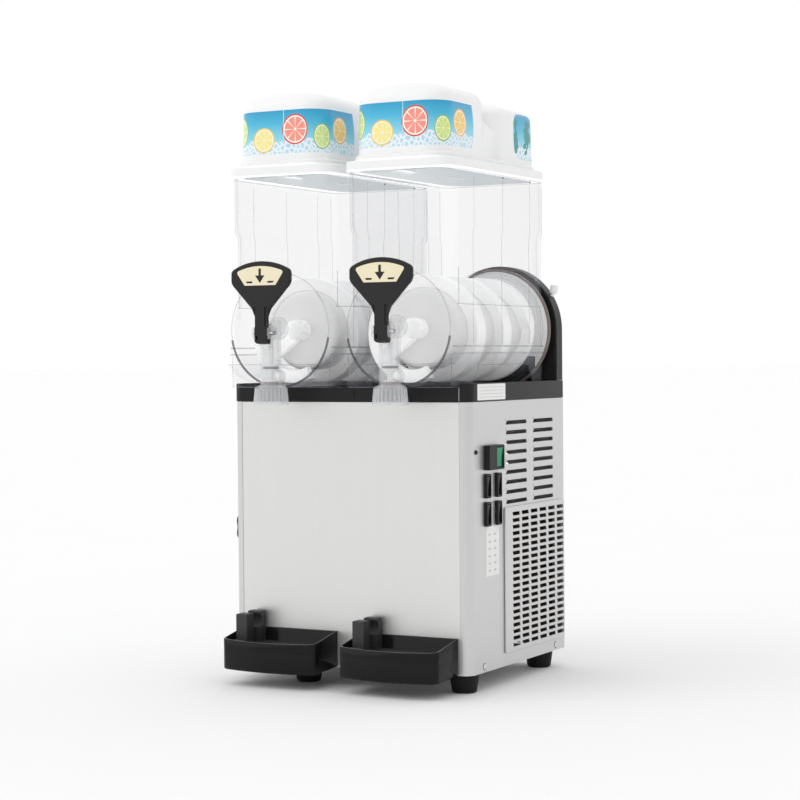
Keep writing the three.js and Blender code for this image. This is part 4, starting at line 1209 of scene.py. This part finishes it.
def lidFinish(side):
    # white lid with a printed band round the front dome: sky, citrus slices and ice, all made up
    finish = Finish(
        "printedLid" + side.capitalize(), {"IOR": 1.5, "Coat Weight": 0.15, "Coat Roughness": 0.1}
    )
    px, py, pz = finish.spot()
    u = px - bowlX[side] * mm
    v = py - frontY
    z = pz - floorZ
    frontEdge = (lid["front"] + 3) * mm
    wrap = u + u.maths("SIGN") * (v - frontEdge)
    bottom, top = 0.787, 0.851
    rounded = wrap.maths("ABSOLUTE")
    reach = 0.176 - (z - 0.819) * (z - 0.819) * 6
    band = (z > bottom) * (z < top) * (rounded < reach)
    height = (z - bottom) * (1 / (top - bottom))
    colour = finish.node("ShaderNodeValToRGB", {"stops": [
        (0, (0.7, 0.9, 0.95)), (0.35, (0.26, 0.7, 0.85)), (0.7, (0.07, 0.5, 0.74)),
        (1, (0.02, 0.36, 0.62))]}, [height])
    flat = finish.node("ShaderNodeCombineXYZ", {}, {"X": wrap, "Y": z, "Z": 0.0})
    ice = finish.node(
        "ShaderNodeTexVoronoi", {"feature": "DISTANCE_TO_EDGE", "voronoi_dimensions": "2D"},
        {"Vector": flat, "Scale": 130.0}, "Distance")
    iceTone = finish.blend((ice * 3).maths("MINIMUM", 1.0), (0.97, 0.99, 1), (0.45, 0.72, 0.88))
    wobble = finish.node("ShaderNodeTexNoise", {"noise_dimensions": "2D"}, {"Vector": flat, "Scale": 60.0})
    colour = finish.blend((height + wobble * 0.25) < 0.42, colour, iceTone)
    slices = [
        (-0.128, 0.812, 0.0195, (0.93, 0.42, 0.03), (0.98, 0.62, 0.12)),
        (-0.075, 0.822, 0.0215, (0.28, 0.55, 0.05), (0.66, 0.83, 0.25)),
        (-0.022, 0.808, 0.0185, (0.88, 0.62, 0.04), (0.98, 0.85, 0.3)),
        (0.032, 0.822, 0.0225, (0.75, 0.07, 0.05), (0.95, 0.32, 0.25)),
        (0.085, 0.811, 0.019, (0.28, 0.55, 0.05), (0.66, 0.83, 0.25)),
        (0.132, 0.822, 0.02, (0.93, 0.42, 0.03), (0.98, 0.62, 0.12)),
    ]
    for cx, cz, r, rind, flesh in slices:
        dx, dz = wrap - cx, z - cz
        away = (dx * dx + dz * dz).maths("SQRT")
        segments = (dz.maths("ARCTAN2", dx) * 4).maths("SINE").maths("ABSOLUTE")
        pith = finish.blend(
            (segments > 0.22) * (away < r * 0.8) * (away > r * 0.1), (0.97, 0.95, 0.85), flesh
        )
        colour = finish.blend(away < r, colour, finish.blend(away < r * 0.9, rind, pith))
    cloud = finish.noise(12, 3)
    white = finish.blend(cloud, (0.9, 0.905, 0.91), (0.94, 0.94, 0.94))
    split = (wrap - 0.012).maths("ABSOLUTE") < 0.0005
    colour = finish.blend(split, colour, (0.7, 0.85, 0.92))
    # a small window of the same print on the side of the rear dome
    wy, wz = (v - 0.252).maths("ABSOLUTE"), (z - 0.82).maths("ABSOLUTE")
    window = (wy.maths("POWER", 4) * (1 / 0.043 ** 4) + wz.maths("POWER", 4) * (1 / 0.035 ** 4)) < 1
    leaf = finish.node(
        "ShaderNodeTexWave", {}, {"Vector": finish.place(), "Scale": 30.0, "Distortion": 6.0}, "Fac"
    )
    leaves = finish.blend((leaf > 0.72) * (z < 0.845), colour, (0.03, 0.3, 0.3))
    colour = finish.blend(v > 0.19, colour, leaves)
    band = band * (v < 0.16) + window * (u.maths("ABSOLUTE") > 0.04)
    finish.set("Base Color", finish.blend(band, white, colour))
    finish.set("Roughness", 0.3 - band * 0.08)
    # painted light: the lid's underside is given a glow, standing in for light coming through the thin
    # white plastic
    normal = finish.tree.nodes.new("ShaderNodeSeparateXYZ")
    finish.join(finish.node("ShaderNodeNewGeometry", {}, {}, "Normal"), normal.inputs[0])
    under = Wire(finish, normal.outputs[2]) < -0.5
    finish.set("Emission Color", finish.blend(under, (0, 0, 0), (0.9, 0.92, 0.94)))
    finish.set("Emission Strength", 0.5)
    finish.bump(finish.noise(500, 2), 0.02)
    return finish.material


def makeLid(side):
    d, x = lid, bowlX[side]
    rimShape = roundedRect(-d["half"], d["half"], d["front"], d["rear"], d["rimRadius"], None, 10)
    wellShape = roundedRect(-73, 73, d["front"] + 6, d["rear"] - 3, 28, None, 10)
    rim = prism(rimShape, "z", d["low"], d["rim"], 2)
    stepShape = roundedRect(-78.5, 78.5, d["front"] + 1, d["rear"] - 0.5, 32, None, 12)
    step = prism(stepShape, "z", d["rim"] - 2, d["rim"] + 9, 3.2)
    outer = joined(rim, step, domesPart(0, d["rim"] - 2))
    inner = joined(prism(wellShape, "z", d["low"] - 1, d["rim"] - 3), domesPart(3, d["rim"] - 4))
    shell = cut(outer, inner)
    name = "lid" + side.capitalize()
    finishes[name] = lidFinish(side)
    build(name, [moved(shell, x)], name, "lid_body_" + side, ["lid_" + side], smooth=38)


tray = {"half": 80, "front": -76, "back": -0.4, "topSlope": 17 / 90, "floorSlope": 6 / 90}


def trayPlan(inset):
    t = tray
    half, back, front = t["half"] - inset, t["back"] - inset, t["front"] + inset
    return [
        (-half, back), (-half, front + 17),
        *bend((-half, front + 17), (-half, front + 8.5), (-half + 10, front + 7), 6),
        *bend((-half + 10, front + 7), (0, front - 7), (half - 10, front + 7), 18),
        *bend((half - 10, front + 7), (half, front + 8.5), (half, front + 17), 6), (half, back),
    ]


def trayRing(inset, atZero, slope):
    return [(px, py, atZero + slope * py) for px, py in trayPlan(inset)]


def makeTray(side):
    x = bowlX[side]
    topSlope, floorSlope = tray["topSlope"], tray["floorSlope"]
    rings = [
        trayRing(3, 27.5, floorSlope), trayRing(1, 28, floorSlope), trayRing(0, 29.5, floorSlope),
        trayRing(0, 80, topSlope),
        trayRing(0.6, 81, topSlope), trayRing(2, 81, topSlope), trayRing(2.6, 80.3, topSlope),
        trayRing(2.6, 32, floorSlope), trayRing(4, 30.5, floorSlope),
    ]
    body = loft(rings)
    name = side.capitalize()
    build(
        "dripTray" + name, [moved(body, x)], "tray", "tray_body_" + side, ["drip_tray_" + side],
        smooth=50
    )
    # painted highlight: a lighter grey bead along the rim stands in for the bright line of light along its
    # edge
    rim = cordOf([(px, py, 80.75 + topSlope * py) for px, py in trayPlan(1.2)], 0.5, True)
    build("trayRim" + name, [moved(rim, x)], "trayRim", "tray_body_" + side, smooth=80, tidy=False)
    plate = prism(trayPlan(3.1), "z", 59, 61, 0.4)
    first = prism(roundedRect(-39.5, -33, -9.4, -6.6, 1.3, None, 4), "z", 58, 62)
    holes = rows(first, 9, 7, (12, 0, 0), (0, -6.2, 0), "tray")
    drain = prism(roundedRect(-16, 16, -64, -57, 3.4, None, 6), "z", 58, 62)
    grid = cut(plate, holes, drain)
    front = block(-69, -50.5, -45, -25, 60, 103.5, 1.2)
    pad = block(-69, -50.5, -54, -44, 60, 65.5, 0.8)
    seat = moved(rod(12, -70, -35, "x"), 0, -26, 92)
    rear = cut(block(-64, -42, -20, -4.5, 60, 106, 1.2), seat)
    parts = [moved(p, x) for p in (grid, front, pad, rear)]
    build(
        "dripGrid" + name, parts, "grid", "grid_body_" + side, ["drip_grid_" + side],
        smooth=40
    )


def makeSwitches():
    for name in ("main", "1", "2", "3", "4"):
        x0, x1, y0, y1, z0, z1 = boxOf("switch_bezel_" + name)
        capFront, capBack = boxOf("rocker_" + name)[2:4]
        a, b = capFront - 1, capBack + 1
        body = prism(roundedRect(y0, y1, z0, z1, 2, None, 4), "x", x0, x1, 0.6)
        well = block(x0 + 1, x1 + 1, a, b, z0 + 3, z1 - 3)
        build(
            "switchBezel" + name.capitalize(), [cut(body, well)], "black", "cabinet",
            ["switch_bezel_" + name]
        )
        tall = (z1 - z0) / 2 - 4
        steps = [(i + 0.5) / 12 for i in range(12)]
        crest = [(1.4 - math.sin(math.pi * t) ** 0.5, tall * (1 - 2 * t)) for t in steps]
        shape = [(-1.2, 0), (0.2, -tall), (1.4, -tall), *reversed(crest), (1.4, tall), (0.2, tall)]
        cap = prism(shape, "y", a + 1, b - 1)
        tilt = Matrix.Rotation(math.radians(4), 3, "Y")
        pivotX = x1 - 2.6
        cap = moved(turnedBy(moved(cap, 0, -(a + b) / 2), tilt), pivotX, (a + b) / 2, (z0 + z1) / 2)
        green = name == "main"
        build(
            "rocker" + name.capitalize(), [cap], "green" if green else "tray", "rocker_body_" + name,
            ["rocker_" + name], bevel=0.25)


def makeKnob():
    tip, x, y0, y1, z0, z1 = boxOf("control_knob")
    y, z = (y0 + y1) / 2, (z0 + z1) / 2
    shape = []
    for i in range(80):
        a = 2 * math.pi * i / 80
        r = 23.5 + 2.5 * math.cos(5 * a)
        shape.append((y + r * math.cos(a), z + r * math.sin(a)))
    grip = prism(shape, "x", tip, x - 2.7, 1.5)
    foot = moved(rod(20, x - 4, x, "x", 48, 0.5), 0, y, z)
    build("controlKnob", [grip, foot], "black", "knob_body", ["control_knob"])
    mark = block(tip, tip + 0.4, y - 0.8, y + 0.8, z + 8, z + 22)
    build("knobMark", [mark], "label", "knob_body")


def makeStage():
    mesh = meshOf(
        "floor",
        [([Vector(p) for p in ((-60, -60, 0), (60, -60, 0), (60, 90, 0), (-60, 90, 0))], [(0, 1, 2, 3)])]
    )
    floor = link("floor", mesh)
    finish = Finish("paleFloor", {"Roughness": 0.9})
    finish.set("Base Color", finish.blend(finish.noise(3, 2), (0.94, 0.94, 0.94), (0.96, 0.96, 0.96)))
    mesh.materials.append(finish.material)
    world = bpy.data.worlds.new("studio")
    bpy.context.scene.world = world
    world.use_nodes = True
    tree = world.node_tree
    split = tree.nodes.new("ShaderNodeSeparateXYZ")
    tree.links.new(tree.nodes.new("ShaderNodeTexCoord").outputs["Generated"], split.inputs[0])
    # the room is white all round, and a little dimmer to the right
    tones = []
    for axis, stops in (
        (1, [(-1, 0.8), (-0.2, 0.98), (0.6, 1.01)]), (0, [(-0.6, 1.0), (0.3, 0.98), (1, 0.7)])
    ):
        ramp = tree.nodes.new("ShaderNodeValToRGB")
        spread = tree.nodes.new("ShaderNodeMapRange")
        spread.inputs["From Min"].default_value = -1
        tree.links.new(split.outputs[axis], spread.inputs["Value"])
        tree.links.new(spread.outputs[0], ramp.inputs[0])
        ramp.color_ramp.elements.new(0.5)
        for element, (position, tone) in zip(ramp.color_ramp.elements, stops):
            element.position, element.color = (position + 1) / 2, (tone, tone, tone, 1)
        tones.append(ramp.outputs[0])
    both = tree.nodes.new("ShaderNodeMath")
    both.operation = "MULTIPLY"
    for i, tone in enumerate(tones):
        tree.links.new(tone, both.inputs[i])
    tree.links.new(both.outputs[0], tree.nodes["Background"].inputs[0])
    lights = {"keyLight": ((-2.2, -2.0, 2.2), 1.0, 0.45), "topLight": ((0.3, 0.4, 3), 1.4, 0.12)}
    for name, (spot, width, strength) in lights.items():
        lamp = bpy.data.lights.new(name, "SUN")
        lamp.angle, lamp.energy = width, strength
        thing = link(name, lamp)
        thing.rotation_euler = (-Vector(spot)).to_track_quat("-Z", "Y").to_euler()


def makeCamera():
    shot = {
        "azimuth": 28.4165, "pitch": -1.20887, "roll": -0.45356, "lens": 91.77,
        "place": (1496.54, -2602.92, 485.42)
    }
    a, p, r = [math.radians(shot[key]) for key in ("azimuth", "pitch", "roll")]
    ahead = Vector((-math.sin(a) * math.cos(p), math.cos(a) * math.cos(p), math.sin(p)))
    across = Vector((math.cos(a), math.sin(a), 0))
    up = across.cross(ahead)
    level = across * math.cos(r) + up * math.sin(r)
    upright = up * math.cos(r) - across * math.sin(r)
    lens = bpy.data.cameras.new("view")
    lens.lens, lens.sensor_width = shot["lens"], 36
    thing = link("view", lens)
    x, y, z = shot["place"]
    turn = Matrix((level, upright, -ahead)).transposed().to_4x4()
    thing.matrix_world = Matrix.Translation((x * mm, frontY + y * mm, floorZ + z * mm)) @ turn
    bpy.context.scene.camera = thing


makeCabinet()
makeDeck()
makeHousing()
makeInside()
print("cabinet made")
for side in sides:
    makeDrum(side)
    makeAuger(side)
    makeBowl(side)
    makeTap(side)
    makeLid(side)
    makeTray(side)
print("bowls made")
makeSwitches()
makeKnob()
makeStage()
makeCamera()
bpy.context.scene.view_settings.view_transform = "Standard"
bpy.context.scene.cycles.transparent_max_bounces = 40
print("stage set")
